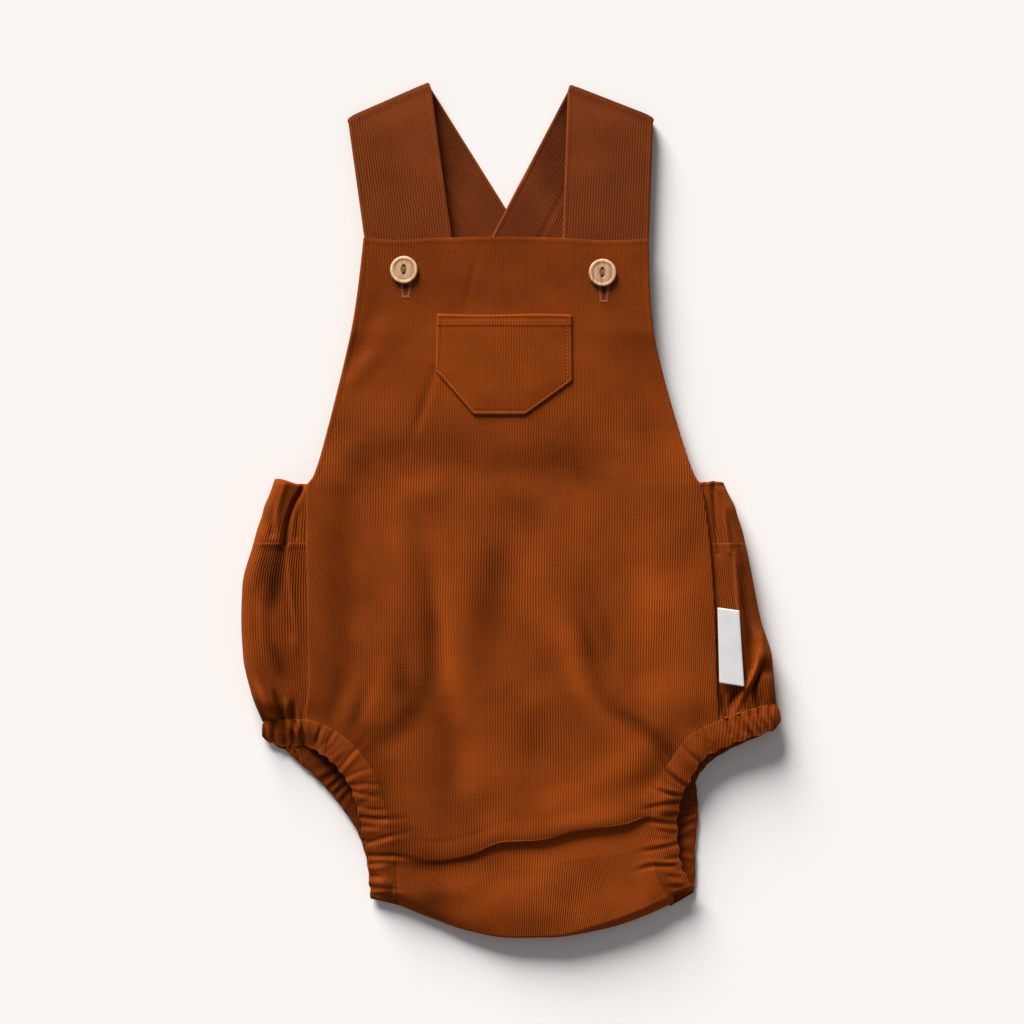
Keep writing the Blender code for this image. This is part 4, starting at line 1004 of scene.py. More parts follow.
# Painted shade in the pleats' troughs and painted highlight on their ridges on the strips; painted
# light on the rise round the crotch, which lies in the front's shadow.
lie = np.clip(creased(x, y, LEFT_PLEATS + RIGHT_PLEATS) / 1.3, -1.4, 1.2) * (z > ON_TOP_Z)
lie[-RISING_ROWS * LOWER_COLUMNS :] += 1.2
back_panel = thin_wall("romper_back", back_points, back_quads, back_corners, CLOTH_THICK, lie)


# %% [markdown]
# ## The back waist casing
#
# The top of the back is folded over a wide elastic. Where it shows at the sides it stands in
# sharp pleats; along the back, which nobody sees while the romper lies on it, the same elastic
# makes a row of smaller gathers.

# %% The waist casing
WAIST_ROWS = 46


def waist_row(share, x):
    return blend(WAIST_TOP("y", x), WAIST_BOTTOM_Y, share)


waist, across = wrapped_sheet(WAIST_ROWS, waist_row)
x, y, z = np.moveaxis(waist, -1, 0)
under = hill(np.minimum(z, 9.0), 5.0)
middle = np.clip(1.2 - np.abs(x) / 120.0, 0.0, 1.0)
gather = 0.5 + 0.5 * np.sin(x / 1.5 + 1.4 * np.sin(x / 11.0))
z += 0.9 * gather * under * ease(middle * 3.0)
waist_casing = sheet_of(
    "romper_waist_casing", waist, WAIST_THICK - 0.8, together(across, y), turned=True
)


# %% [markdown]
# ## The leg casings
#
# Each is a flat tube that follows the leg seam. It could be a curve with a bevel, but the
# elastic puckers it unevenly, so the rings of points are placed one by one. Its upper face runs
# on over the edge of the panel, as the turned hem does, and the same gathers that crease the
# front and the strips run on over it, so that no groove shows between them.

# %% The leg casings
RING_SIDES = 40
CASING_WALL = 0.5
CASING_LAP = 1.8
CASING_SEAT = 0.52
STITCHED_FROM_Y = -132.0
PUFF_PHASES = {"left": 0.0, "right": 1.7}
HIP_FLAT = {"left": 0.5, "right": 0.0}
HIP_ROUND = {"left": 3.6, "right": 1.6}
# How much each casing's underside is painted lighter (above 0) or darker (below 0), as painted
# light and shade.
UNDER_PAINTED_LIGHT = {"left": -0.7, "right": 0.3}
SEAM_LINES = {}


def puckers(at, across):
    """Small uneven gathers along a casing, for places where none is placed by hand."""
    slanted = at + 2.2 * across * np.sin(at / 9.0)
    wave = np.sin(slanted / 0.95 + 1.6 * np.sin(at / 5.3)) * (0.55 + 0.45 * np.sin(at / 7.7 + 1.0))
    return wave - 0.25


def panel_under(*panels):
    """A tree of the finished panels, to ask how high their top is anywhere."""
    points, faces = [], []
    for panel in panels:
        first = len(points)
        points += [tuple(vertex.co / MM - Vector(SHIFT)) for vertex in panel.data.vertices]
        faces += [tuple(first + k for k in face.vertices) for face in panel.data.polygons]
    return BVHTree.FromPolygons(points, faces)


under_casings = panel_under(front_panel, back_panel)


def laid_on(points, seam, share):
    """Lifts a casing so that its lap, where seam is above 0, lies on the panels below it. The
    lift runs out over the casing by share."""
    lifts = np.zeros(points.shape[:2])
    for row, column in np.argwhere((seam > 0.05) & (points[..., 2] > 2.6)):
        x, y, z = points[row, column]
        hit = under_casings.ray_cast((x, y, 60.0), (0.0, 0.0, -1.0))[0]
        if hit is not None:
            lifts[row, column] = max(0.0, hit.z + 0.12 * (1.0 - seam[row, column] ** 2) + 0.03 - z)
    most = np.convolve(np.pad(lifts.max(axis=1), 3, "edge"), np.full(7, 1.0 / 7.0), "valid")
    points[..., 2] += np.maximum(lifts, most[:, None] * share)


def facing_out(points, quads, corners, middle):
    """Faces, with their corners, turned where needed to face away from the middle."""
    if (point_normals(points, quads) * (points - middle)).sum() < 0:
        return quads[:, ::-1], corners[:, ::-1]
    return quads, corners


def ring_ways(line):
    """The ways outward and upward from the seam line, at each of its rings."""
    out = np.radians(line[:, 3])
    outward = together(np.cos(out), np.sin(out), 0.0)
    tangent = np.gradient(line[:, :3], axis=0)
    tangent -= outward * (tangent * outward).sum(axis=1, keepdims=True)
    up = np.cross(outward, tangent)
    return outward[:, None], unit(up * math.copysign(1.0, up[0, 2]))[:, None]


def leg_casing(side):
    places, line = LEG_LINES[side]
    outward, up = ring_ways(line)
    along, seam_z = places[:, None], line[:, 2:3]
    from_fold = along - places[OUTERMOST[side]]
    from_end = np.minimum(along, places[-1] - along)
    on_front = ease((seam_z - 2.2) / 1.8)

    # The section: a flat oval, squashed where it laps over the panel's edge.
    angle = np.linspace(0.0, 2 * math.pi, RING_SIDES, endpoint=False)[None, :]
    across, high = np.cos(angle), np.copysign(np.abs(np.sin(angle)) ** 0.6, np.sin(angle))
    seam = np.clip(-across, 0.0, 1.0)
    wave = np.sin(along / 1.6 + 1.4 * np.sin(along / 17.0) + PUFF_PHASES[side])
    half_width = CASING_WIDTH / 2.0 + (0.08 + 0.14 * on_front) * wave
    half_width = half_width * (1.0 - 0.2 * hill(from_fold, 6.0))
    half_thick = (CASING_THICK / 2.0 + 0.1 * wave) * (0.06 + 0.94 * ease(from_end / 2.5))
    half_thick = half_thick * (0.7 + 0.3 * ease(from_end / 30.0))
    half_thick = half_thick * (1.0 - HIP_FLAT[side] * hill(from_fold, 16.0))
    middle = line[:, None, :3] + outward * (half_width + SEAM_GAP)[..., None]
    sideways = across * (half_width + seam * (SEAM_GAP + CASING_LAP))
    lift = half_thick * high * (1.0 - 0.72 * seam**3) + seam**3 * CASING_SEAT
    points = middle + outward * sideways[..., None] + up * lift[..., None]

    # Puckers, the gathers that run on over it, its rim, and the hip where it droops and rounds.
    facing = up * high[..., None] + outward * across[..., None] * 0.6
    on_top = on_front * ease(facing[..., 2] * 3.0)
    small = 0.42 * puckers(along, across) * (1.0 - 0.75 * on_top)
    small = small * (1.0 - 0.7 * ease((across - 0.6) / 0.3))
    points = points + facing * small[..., None] * (1.0 - seam**2)[..., None]
    x, y, z = np.moveaxis(points, -1, 0)
    z += on_top * (creased(x, y, LEG_GATHERS) + creased(x, y, HIP_GATHERS))
    z += on_top * (0.35 * hill(1.0 - across, 0.12))
    droop = ease((-line[:, :1] - 88.0) / 26.0) * on_front * np.maximum(seam_z - 2.4, 0.0)
    z -= droop * ease((across + 1.0) / 2.0)
    corner = ease((across - 0.1) / 0.9) ** 2 + 0.3 * ease((-across - 0.5) / 0.5) ** 2
    x -= SIGNS[side] * (HIP_ROUND[side] * hill(from_fold, 7.0)) * corner
    np.maximum(z, 0.02, out=z)
    upper = (high > -0.05) * np.ones(z.shape)
    laid_on(points, upper * seam, upper * ease((1.0 - across) / 1.6) * on_top)

    # Painted light and shade on a casing: painted shade in the gathers on top, a painted highlight
    # along its rounded outer edge, and painted shade and light following the puckers of the part
    # under the back.
    lie = 0.5 * creased(x, y, LEG_GATHERS) + 0.7 * creased(x, y, HIP_GATHERS)
    lie = np.minimum(lie, 0.25) * on_top + 0.8 * EDGE_HIGHLIGHT * hill(1.0 - across, 0.05)
    painted_crumple_shade = 0.9 * puckers(along, across) + UNDER_PAINTED_LIGHT[side]
    lie = blend(lie, painted_crumple_shade, ease((2.5 - seam_z) / 1.0))
    stitched = np.flatnonzero(line[: OUTERMOST[side] - 4, 1] > STITCHED_FROM_Y)
    SEAM_LINES[side] = points[stitched, 16].copy()
    ring = np.concatenate([points, points[:, :1]], axis=1)
    cloth = together(ring[..., 0] - wale_lean(ring[..., 0], ring[..., 1]), ring[..., 1])
    flat = points.reshape(-1, 3)
    quads, corners = facing_out(
        flat, grid_quads(len(places), RING_SIDES, wrap=True), grid_corners(cloth),
        np.repeat(middle[:, 0], RING_SIDES, axis=0),
    )
    return thin_wall(f"romper_leg_casing_{side}", flat, quads, corners, CASING_WALL, lie)


leg_casings = {side: leg_casing(side) for side in SIGNS}


# %% [markdown]
# ## The straps
#
# A strap is a tube of corduroy pressed flat: two layers with rounded edges, and on its inner
# face the seam that closed the tube. It comes up from behind the bib, folds over at the
# shoulder and crosses the back. One grid follows its middle all the way, and the two faces are
# that grid moved out to either side. The right strap passes over the left one.

# %% The straps' measures
STRAP_THICK = 2.4
STRAP_BEND = 2.7
STRAP_FRONT_END_Y, STRAP_BACK_END_Y = 101.0, 4.0
CROSSING_FLAT, CROSSING_RAMP, CROSSING_GAP = 11.0, 14.0, 0.45
CLIMB_START_Y, CLIMB_END_Y = 34.0, 19.5
CENTRE_SEAM = 0.52

Strap = namedtuple("Strap", "outer inner front_lean back_lean over")
STRAPS = {
    "left": Strap((-88.6, 211.6), (-44.2, 231.0), 0.148, 0.622, False),
    "right": Strap((78.0, 212.0), (32.2, 229.8), -0.046, -0.520, True),
}


# %% The way a strap runs
STRAP_FRONT_ROWS, STRAP_TURN_ROWS, STRAP_BACK_ROWS = 84, 16, 150
STRAP_COLUMNS = 46


def strap_edges(strap, y, lean):
    outer = strap.outer[0] + lean * (strap.outer[1] - y)
    return outer, strap.inner[0] + lean * (strap.inner[1] - y)


def back_strap_middle(strap, x, y):
    """The middle of a strap on its way down the back: on the table, over the other strap if it
    is the upper one, and up on to the waist casing."""
    rise = (WAIST_THICK + SEAM_GAP) * ease((CLIMB_START_Y - y) / (CLIMB_START_Y - CLIMB_END_Y))
    if strap.over:
        other = STRAPS["left"]
        outer, inner = strap_edges(other, y, other.back_lean)
        level = np.maximum(np.maximum(outer - x, x - inner), 0.0)
        away = level / math.hypot(1.0, other.back_lean) - CROSSING_FLAT
        rise = np.maximum(rise, (STRAP_THICK + CROSSING_GAP) * ease(1.0 - away / CROSSING_RAMP))
    return STRAP_THICK / 2.0 + rise


def strap_middle(this, shares):
    """The grid down the middle of a strap's cloth, from behind the bib to the back waist. At
    the shoulder it turns in a half circle, pinched at the corners as pressed cloth is."""
    outer, inner = np.array(this.outer), np.array(this.inner)
    fold = (inner - outer) / np.linalg.norm(inner - outer)
    off = np.array([-fold[1], fold[0]]) * math.copysign(1.0, fold[0])
    outer, inner = (end - off * (STRAP_BEND + STRAP_THICK / 2.0) for end in (outer, inner))
    low = STRAP_THICK / 2.0

    def run(end_y, lean, count):
        """A straight run, from its end up to the shoulder."""
        way = np.linspace(0.0, 1.0, count)[:, None]
        starts = [np.array([[x, end_y]]) for x in strap_edges(this, end_y, lean)]
        sides = [blend(start, top, way) for start, top in zip(starts, (outer, inner))]
        return blend(sides[0][:, None], sides[1][:, None], shares[None, :, None])

    front = run(STRAP_FRONT_END_Y, this.front_lean, STRAP_FRONT_ROWS)
    front = together(front[..., 0], front[..., 1], low + 2 * STRAP_BEND)
    angle = np.linspace(0.0, math.pi, STRAP_TURN_ROWS)[1:-1, None]
    width = np.linalg.norm(inner - outer)
    outside = np.exp(-shares * width / 1.4)[None, :]
    inside = np.exp(-(1.0 - shares) * width / 1.0)[None, :]
    bend = STRAP_BEND * (1.0 - 0.75 * outside - 0.3 * inside)
    turn = blend(outer[None], inner[None], shares[:, None])[None]
    turn = turn + off * (bend * np.sin(angle))[..., None]
    turn = turn + fold * (1.0 * outside * np.sin(angle))[..., None]
    turn = together(turn[..., 0], turn[..., 1], low + STRAP_BEND * (1.0 + np.cos(angle)))
    back = run(STRAP_BACK_END_Y, this.back_lean, STRAP_BACK_ROWS)[::-1]
    x, y = back[..., 0], back[..., 1]
    return np.concatenate([front, turn, together(x, y, back_strap_middle(this, x, y))])


# %% A pressed tube of cloth
def round_a_tube(top, below, *again):
    """Values on a tube's top face and back along its lower one."""
    return np.concatenate([top, below[:, -2:0:-1], *again], axis=1)


def pressed_tube(name, middle, thick, seam, lie):
    """A closed flat tube round a grid. seam gives the lift of its inner face at the grid's
    points, for a seam that shows there."""
    rows = len(middle)
    normals = unit(np.cross(np.gradient(middle, axis=0), np.gradient(middle, axis=1)))
    normals *= math.copysign(1.0, normals[:20, :, 2].mean())
    across = running(np.linalg.norm(np.diff(middle, axis=1), axis=2).T).T
    along = running(np.linalg.norm(np.diff(middle, axis=0), axis=2).mean(axis=1))
    along = along[:, None] * np.ones(across.shape)
    edge = np.minimum(across, across[:, -1:] - across)
    end = np.minimum(along, along[-1:] - along)
    half = thick / 2.0 * np.sqrt(1.0 - (1.0 - np.clip(edge / 0.8, 0.0, 1.0)) ** 2)
    half = half * np.clip(end / 1.5 + 0.02, 0.0, 1.0) ** 0.5
    rolled = 0.16 * hill(edge - 1.3, 0.8) - 0.1 * hill(edge - 3.0, 1.0)
    depth = half + rolled * np.clip(edge / 1.2, 0.0, 1.0)
    outer = middle + normals * depth[..., None]
    ring = round_a_tube(outer, middle - normals * (depth + seam)[..., None])
    u, v = (round_a_tube(flat, flat, flat[:, :1]) for flat in (across, along))
    flat = ring.reshape(-1, 3)
    quads, corners = facing_out(
        flat, grid_quads(rows, ring.shape[1], wrap=True), grid_corners(together(u, v)),
        round_a_tube(middle, middle).reshape(-1, 3),
    )
    made = add_mesh(name, flat, quads, corners)
    # A painted highlight along the tube's rounded edges.
    lie = lie + EDGE_HIGHLIGHT * hill(edge, 1.0)
    set_painted_light(made, round_a_tube(lie, lie))
    return made


# %% The two straps
def strap_piece(side):
    shares = 0.5 - 0.5 * np.cos(np.linspace(0.0, math.pi, STRAP_COLUMNS))
    middle = strap_middle(STRAPS[side], shares)
    x, y, z = np.moveaxis(middle, -1, 0)
    lying = np.clip((z - STRAP_THICK / 2.0) / 2.0, 0.0, 1.0)
    z += 0.16 * ripple(x + 31.0, y, 12.0) * lying
    beside = (shares[None, :] - CENTRE_SEAM) * 52.0
    groove = -0.55 * hill(beside, 0.8) + 0.35 * hill(beside + 1.5, 0.9)
    # Painted light and shade on a strap: a painted highlight on the front run near the shoulder,
    # painted shade on the back run below the fold and along the fold itself, and slightly darker
    # overall.
    down = running(np.hypot(*np.diff(middle[:, STRAP_COLUMNS // 2, :2], axis=0).T))[:, None]
    down = down - down[np.argmax(y.mean(axis=1))]
    front, back = 0.55 * hill(down, 14.0), -2.3 * np.exp(-np.abs(down) / 34.0)
    lie = np.where(down > 0, back, front) - 1.8 * hill(down + 0.6, 2.8)
    lie = lie * np.ones(x.shape) - 0.25
    return pressed_tube(f"romper_strap_{side}", middle, STRAP_THICK, groove, lie)


straps = {side: strap_piece(side) for side in SIGNS}


# %% [markdown]
# ## The patch pocket
#
# A five-edged patch lies on the bib with its edges turned in. Its shape comes from the bib's own
# surface moved out by its thickness, so it can't sink in or float. The turned hem along its top
# is a step thicker than the rest, and its edges are rolled.

# %% The pocket
POCKET_Y, POCKET_LEFT, POCKET_RIGHT = np.array((
    (52, -19.6, 7.5), (61, -27.3, 20.2), (70.2, -35.4, 32.9), (75.1, -39.8, 32.8),
    (90, -39.4, 32.7), (105.2, -39, 32.6),
)).T
POCKET_FOOT, POCKET_TOP = POCKET_Y[[0, -1]]
POCKET_HEM = 6.0
POCKET_SEAT = 1.0
POCKET_GRID = (74, 72)


def inside_pocket(x, y, sides_at):
    """How far inside the pocket's edges points lie."""
    left, right = (np.interp(sides_at, POCKET_Y, edge) for edge in (POCKET_LEFT, POCKET_RIGHT))
    return np.minimum.reduce([x - left, right - x, POCKET_TOP - y, y - POCKET_FOOT])


def pocket_height(x, y):
    inside = inside_pocket(x, y, y)
    hem = 0.16 * ease((y - POCKET_TOP + POCKET_HEM + 0.5) / 1.0)
    puff = 0.4 * ease(inside / 14.0)
    stitched = -0.22 * hill(inside - 1.7, 0.7)
    rim = 0.15 * hill(inside - 0.7, 0.6)
    return front_height(x, y) + POCKET_SEAT + hem + puff + stitched + rim


level = blend(POCKET_TOP, POCKET_FOOT, np.linspace(0.0, 1.0, POCKET_GRID[0])[:, None])
left, right = (np.interp(level, POCKET_Y, edge) for edge in (POCKET_LEFT, POCKET_RIGHT))
x = blend(left, right, np.linspace(0.0, 1.0, POCKET_GRID[1])[None, :])
y = level + 0.35 * np.sin(x / 9.0) * ease((level - 96.0) / 9.0)
# A painted highlight along the pocket's rolled edges, and a slightly lighter patch.
lie = 0.6 * EDGE_HIGHLIGHT * hill(inside_pocket(x, y, level), 0.8) + 0.1
pocket_piece = sheet_of("romper_pocket", together(x, y, pocket_height(x, y)), CLOTH_THICK, lie=lie)


# %% [markdown]
# ## The side label
#
# A short piece of ribbon, folded double and caught in the side seam. It is left plain.

# %% The label
LABEL_THICK = 1.0
LABEL_TOP = ((111.0, -51.8), (121.9, -53.2))
LABEL_FOOT = ((112.0, -91.6), (124.6, -93.4))
LABEL_GRID = (66, 24)
down, across = np.meshgrid(
    *(np.linspace(0.0, 1.0, count) for count in LABEL_GRID), indexing="ij", sparse=True
)
x, y = (
    blend(*(blend(top[k], foot[k], down) for top, foot in zip(LABEL_TOP, LABEL_FOOT)), across)
    for k in (0, 1)
)
under = np.maximum.reduce([strip_height("right", x + aside, y) for aside in (-2.5, 0.0, 2.5)])
z = blend(under[:, :8].max(), under[:, 14:].max(), across) + SEAM_GAP + LABEL_THICK
z = z + 0.12 * np.sin(down * 4.0 + across) * across
label = sheet_of("romper_side_label", together(x, y, z), LABEL_THICK * 0.8)


# %% [markdown]
# ## The buttons
#
# A turned button is a shape of revolution, so rings of points are enough: a flat middle dished
# in below a rounded rim, with an eye-shaped recess cut along it for the thread. The recess is
# simply the same surface pressed down inside a lens shape. The profile's rows are a radius and a
# height, as shares of the button's own.

# %% The buttons
BUTTON_RADIUS, BUTTON_THICK = 7.5, 2.0
EYE_LENGTH, EYE_WIDTH, EYE_DEPTH = 6.4, 3.5, 0.34
HOLE_OFF, HOLE_RADIUS, HOLE_DEPTH = 2.0, 0.7, 0.55
BUTTON_SIDES = 72
DISH = 0.90
BUTTON_PROFILE = np.array((
    (0, DISH), (0.1, DISH), (0.2, DISH), (0.3, DISH), (0.4, DISH), (0.5, 0.89), (0.61, 0.88),
    (0.68, 0.87), (0.72, 0.89), (0.77, 0.96), (0.82, 0.99), (0.88, 1), (0.94, 0.92),
    (0.985, 0.7), (1, 0.48), (0.98, 0.24), (0.9, 0.04), (0.7, 0), (0, 0),
))


def button(name):
    x0, y0 = BUTTON_PLACES[name]
    reach = np.array([-BUTTON_RADIUS, 0.0, BUTTON_RADIUS])
    seat = front_height(*np.meshgrid(x0 + reach, y0 + reach)).max() + GAP
    at = np.arange(len(BUTTON_PROFILE))
    fine = np.linspace(0.0, at[-1], 4 * int(at[-1]) + 1)[:, None]
    radius, height = (smooth_through(at, column, fine) for column in BUTTON_PROFILE.T)
    radius = np.maximum(radius, 0.012) * BUTTON_RADIUS
    angle = np.linspace(0.0, 2 * math.pi, BUTTON_SIDES, endpoint=False)[None, :]
    x, y = radius * np.cos(angle), radius * np.sin(angle)
    lens = 1.0 - (y / (EYE_LENGTH / 2.0)) ** 2 - (np.abs(x) / (EYE_WIDTH / 2.0)) ** 1.4
    hole = HOLE_RADIUS - np.hypot(x * 1.2, np.abs(y) - HOLE_OFF)
    z = height * BUTTON_THICK - EYE_DEPTH * ease(lens / 0.3) * (fine < 5.0)
    z = z - HOLE_DEPTH * ease(hole / 0.35 + 0.3) * (fine < 5.0)
    points = together(x + x0, y + y0, z + seat)
    corners = grid_corners(np.concatenate([points, points[:, :1]], axis=1)[..., :2])
    quads = grid_quads(*x.shape, wrap=True)
    return add_mesh(name + "_turned", points.reshape(-1, 3), quads, corners), seat


button_pieces = {name: button(name) for name in BUTTON_PLACES}


# %% [markdown]
# ## Nodes by hand
#
# Both kinds of node tree in this script, for stitches and for finishes, are written with a few
# small helpers. `add` makes a node, sets its own settings, and fills or links its inputs.


# %% Helpers for node trees
def fill(tree, node, inputs):
    """Sets a node's inputs by name or number. A socket given as a value is linked."""
    for key, value in inputs.items():
        if isinstance(value, bpy.types.NodeSocket):
            tree.links.new(value, node.inputs[key])
        else:
            node.inputs[key].default_value = value


def add(tree, kind, inputs=(), **settings):
    made = tree.nodes.new(kind)
    for key, value in settings.items():
        setattr(made, key, value)
    fill(tree, made, dict(inputs))
    return made


def math_node(tree, operation, a, b=0.0, c=None, clamp=False):
    inputs = {0: a, 1: b} if c is None else {0: a, 1: b, 2: c}
    return add(tree, "ShaderNodeMath", inputs, operation=operation, use_clamp=clamp).outputs[0]


def vector_math(tree, operation, a, b):
    inputs = {0: a, "Scale" if operation == "SCALE" else 1: b}
    return add(tree, "ShaderNodeVectorMath", inputs, operation=operation).outputs[0]


def length_of(tree, vector):
    return add(tree, "ShaderNodeVectorMath", {0: vector}, operation="LENGTH").outputs["Value"]


def noise(tree, place, scale, detail):
    inputs = {"Vector": place, "Scale": scale, "Detail": detail}
    return add(tree, "ShaderNodeTexNoise", inputs).outputs


def relief(tree, height, depth):
    return add(tree, "ShaderNodeBump", {"Height": height, "Distance": depth}).outputs["Normal"]


def new_tree(name, kind, sockets):
    """A node group with its sockets, as (name, in or out, kind, default), and its two ends."""
    tree = bpy.data.node_groups.new(name, kind)
    for title, way, socket_kind, default in sockets:
        socket = tree.interface.new_socket(
            title, in_out="INPUT" if way == "in" else "OUTPUT", socket_type=socket_kind
        )
        if default is not None:
            socket.default_value = default
    return tree, tree.nodes.new("NodeGroupInput"), tree.nodes.new("NodeGroupOutput")


# %% [markdown]
# ## Corduroy
#
# Corduroy is a cut pile: fine ridges of brushed thread, the wales, with narrow grooves between them
# that show the darker ground. Here a cosine across the cloth makes the wales, a little noise makes
# them wander, a stretched noise is the nap that lies along them, and a slow one is the uneven rub
# of wear. Each piece's painted light attribute then adds painted shade and painted highlight. One
# group serves every piece, with its own colour for each.

# %% The corduroy group
WALE_PITCH, WALE_WANDER = 1.45, 0.9
WEFT_PITCH = 1.7
NAP_SCALE = (2600.0, 800.0, 0.0)
PAINTED_LIGHT_GAIN = 0.33
corduroy_tree, group_in, group_out = new_tree(
    "Corduroy", "ShaderNodeTree",
    (
        ("Cloth", "in", "NodeSocketVector", None),
        ("Colour", "in", "NodeSocketColor", (0.2, 0.05, 0.01, 1.0)),
        ("Contrast", "in", "NodeSocketFloat", 1.0),
        ("Wales", "in", "NodeSocketFloat", 1.0),
        ("Lie", "in", "NodeSocketFloat", 0.0),
        ("Colour", "out", "NodeSocketColor", None),
        ("Height", "out", "NodeSocketFloat", None),
        ("Roughness", "out", "NodeSocketFloat", None),
    ),
)
t = corduroy_tree
given = group_in.outputs
split = add(t, "ShaderNodeSeparateXYZ", {"Vector": given["Cloth"]}).outputs
wander = math_node(t, "SUBTRACT", noise(t, given["Cloth"], 140.0, 2.0)["Fac"], 0.5)
across = math_node(t, "ADD", split["X"], math_node(t, "MULTIPLY", wander, WALE_WANDER * MM))
turn = math_node(t, "MULTIPLY", across, 2 * math.pi / (WALE_PITCH * MM))
wave = math_node(t, "MULTIPLY_ADD", math_node(t, "COSINE", turn), 0.5, 0.5)
wale = math_node(t, "POWER", wave, 0.6)
nap = noise(t, vector_math(t, "MULTIPLY", given["Cloth"], NAP_SCALE), 1.0, 2.0)["Fac"]
wear = noise(t, given["Cloth"], 38.0, 4.0)["Fac"]
rubbed = noise(t, given["Cloth"], 17.0, 1.5)
crisp = add(t, "ShaderNodeMapRange", {0: rubbed["Fac"], 1: 0.38, 2: 0.62, 3: 0.4, 4: 1.35})
crisp = math_node(t, "MULTIPLY", crisp.outputs[0], given["Wales"])
ridges = math_node(t, "MULTIPLY", math_node(t, "SUBTRACT", wale, 0.66), crisp)
shade = math_node(t, "MULTIPLY", ridges, 0.3)
weft = math_node(t, "MULTIPLY", split["Y"], 2 * math.pi / (WEFT_PITCH * MM))
weft = math_node(t, "SINE", weft)
weft_seen = math_node(t, "SUBTRACT", rubbed["Color"], 0.45, clamp=True)
weft_seen = math_node(t, "MULTIPLY", weft_seen, 0.25)
shade = math_node(t, "ADD", shade, math_node(t, "MULTIPLY", weft, weft_seen))
for texture, weight in ((nap, 0.8), (wear, 0.7)):
    level = math_node(t, "SUBTRACT", texture, 0.5)
    shade = math_node(t, "ADD", shade, math_node(t, "MULTIPLY", level, weight))
# Painted light and shade: the piece's attribute lightens or darkens the colour.
shade = math_node(t, "ADD", shade, math_node(t, "MULTIPLY", given["Lie"], PAINTED_LIGHT_GAIN))
gain = math_node(t, "MULTIPLY_ADD", shade, given["Contrast"], 1.0)
coloured = vector_math(t, "SCALE", given["Colour"], gain)
height = math_node(t, "MULTIPLY_ADD", nap, 0.3, ridges)
rough = math_node(t, "MULTIPLY_ADD", wale, -0.12, 0.98)
fill(t, group_out, {"Colour": coloured, "Height": height, "Roughness": rough})
print("Corduroy:", len(t.nodes), "nodes")


# %% Materials
PILE_DEPTH = 0.16


def material(name):
    made = bpy.data.materials.new(name)
    made.use_nodes = True
    return made, made.node_tree, made.node_tree.nodes["Principled BSDF"]


def corduroy(name, colour, wales, bib_wales=None):
    """Corduroy whose ridges show as strongly as wales says. bib_wales is for the bib, where
    they show less."""
    made, tree, shader = material(name)
    uv = add(tree, "ShaderNodeUVMap", uv_map="cloth").outputs["UV"]
    inputs = {"Cloth": uv, "Colour": (*colour, 1.0), "Wales": wales}
    cord = add(tree, "ShaderNodeGroup", inputs, node_tree=corduroy_tree)
    if bib_wales is not None:
        down = add(tree, "ShaderNodeSeparateXYZ", {"Vector": uv}).outputs["Y"]
        fade = add(tree, "ShaderNodeMapRange", {0: down, 1: 0.02, 2: 0.09, 3: wales, 4: bib_wales})
        fill(tree, cord, {"Wales": fade.outputs[0]})
    # The attribute that holds each piece's painted light and shade.
    lie = add(tree, "ShaderNodeAttribute", attribute_name="lie")
    fill(tree, cord, {"Lie": lie.outputs["Fac"]})
    normal = relief(tree, cord.outputs["Height"], PILE_DEPTH * MM)
    fill(tree, shader, {
        "Base Color": cord.outputs["Colour"], "Roughness": cord.outputs["Roughness"],
        "Normal": normal, "Sheen Weight": 0.05, "Sheen Roughness": 0.4,
        "Sheen Tint": (1.0, 0.38, 0.12, 1.0), "Specular IOR Level": 0.04,
    })
    return made


RUST = np.array([0.214, 0.0392, 0.0042])
left_strap = corduroy("Corduroy, left strap", RUST * (0.93, 1.07, 2.1), 1.6)
right_strap = corduroy("Corduroy, right strap", RUST * (0.82, 0.93, 1.9), 1.0)
pieces = {
    "front_panel": (front_panel, corduroy("Corduroy, front", RUST, 1.35, bib_wales=0.6)),
    "back_panel": (back_panel, corduroy("Corduroy, back", RUST * 0.97, 1.9)),
    "back_waist_casing": (waist_casing, corduroy("Corduroy, waist", RUST * 0.97, 1.9)),
    "leg_casing_left": (leg_casings["left"], corduroy("Corduroy, left leg", RUST * 0.97, 1.5)),
    "leg_casing_right": (leg_casings["right"], corduroy("Corduroy, right leg", RUST * 0.97, 1.5)),
    "strap_left": (straps["left"], left_strap),
    "strap_right": (straps["right"], right_strap),
    "pocket": (pocket_piece, corduroy("Corduroy, pocket", RUST * (1.03, 1.03, 0.9), 0.7)),
}


# %% [markdown]
# ## Wood and ribbon
#
# The buttons are pale turned wood. Its grain is a noise drawn out along one direction. Rings of
# painted shade darken the groove and the outer edge, a painted highlight lightens the rim, and
# painted shade darkens the eye in the middle. The ribbon is a plain close weave, paler than
# anything else.

# %% Wood and ribbon
GRAIN_SCALE = (1100.0, 150.0, 300.0)
# Tones from the middle out: painted shade in the groove and a painted highlight on the rim.
RING_SHADE_TONES = ((0.60, 0.9), (0.68, 0.68), (0.74, 0.9), (0.84, 1.22), (0.95, 1.15))


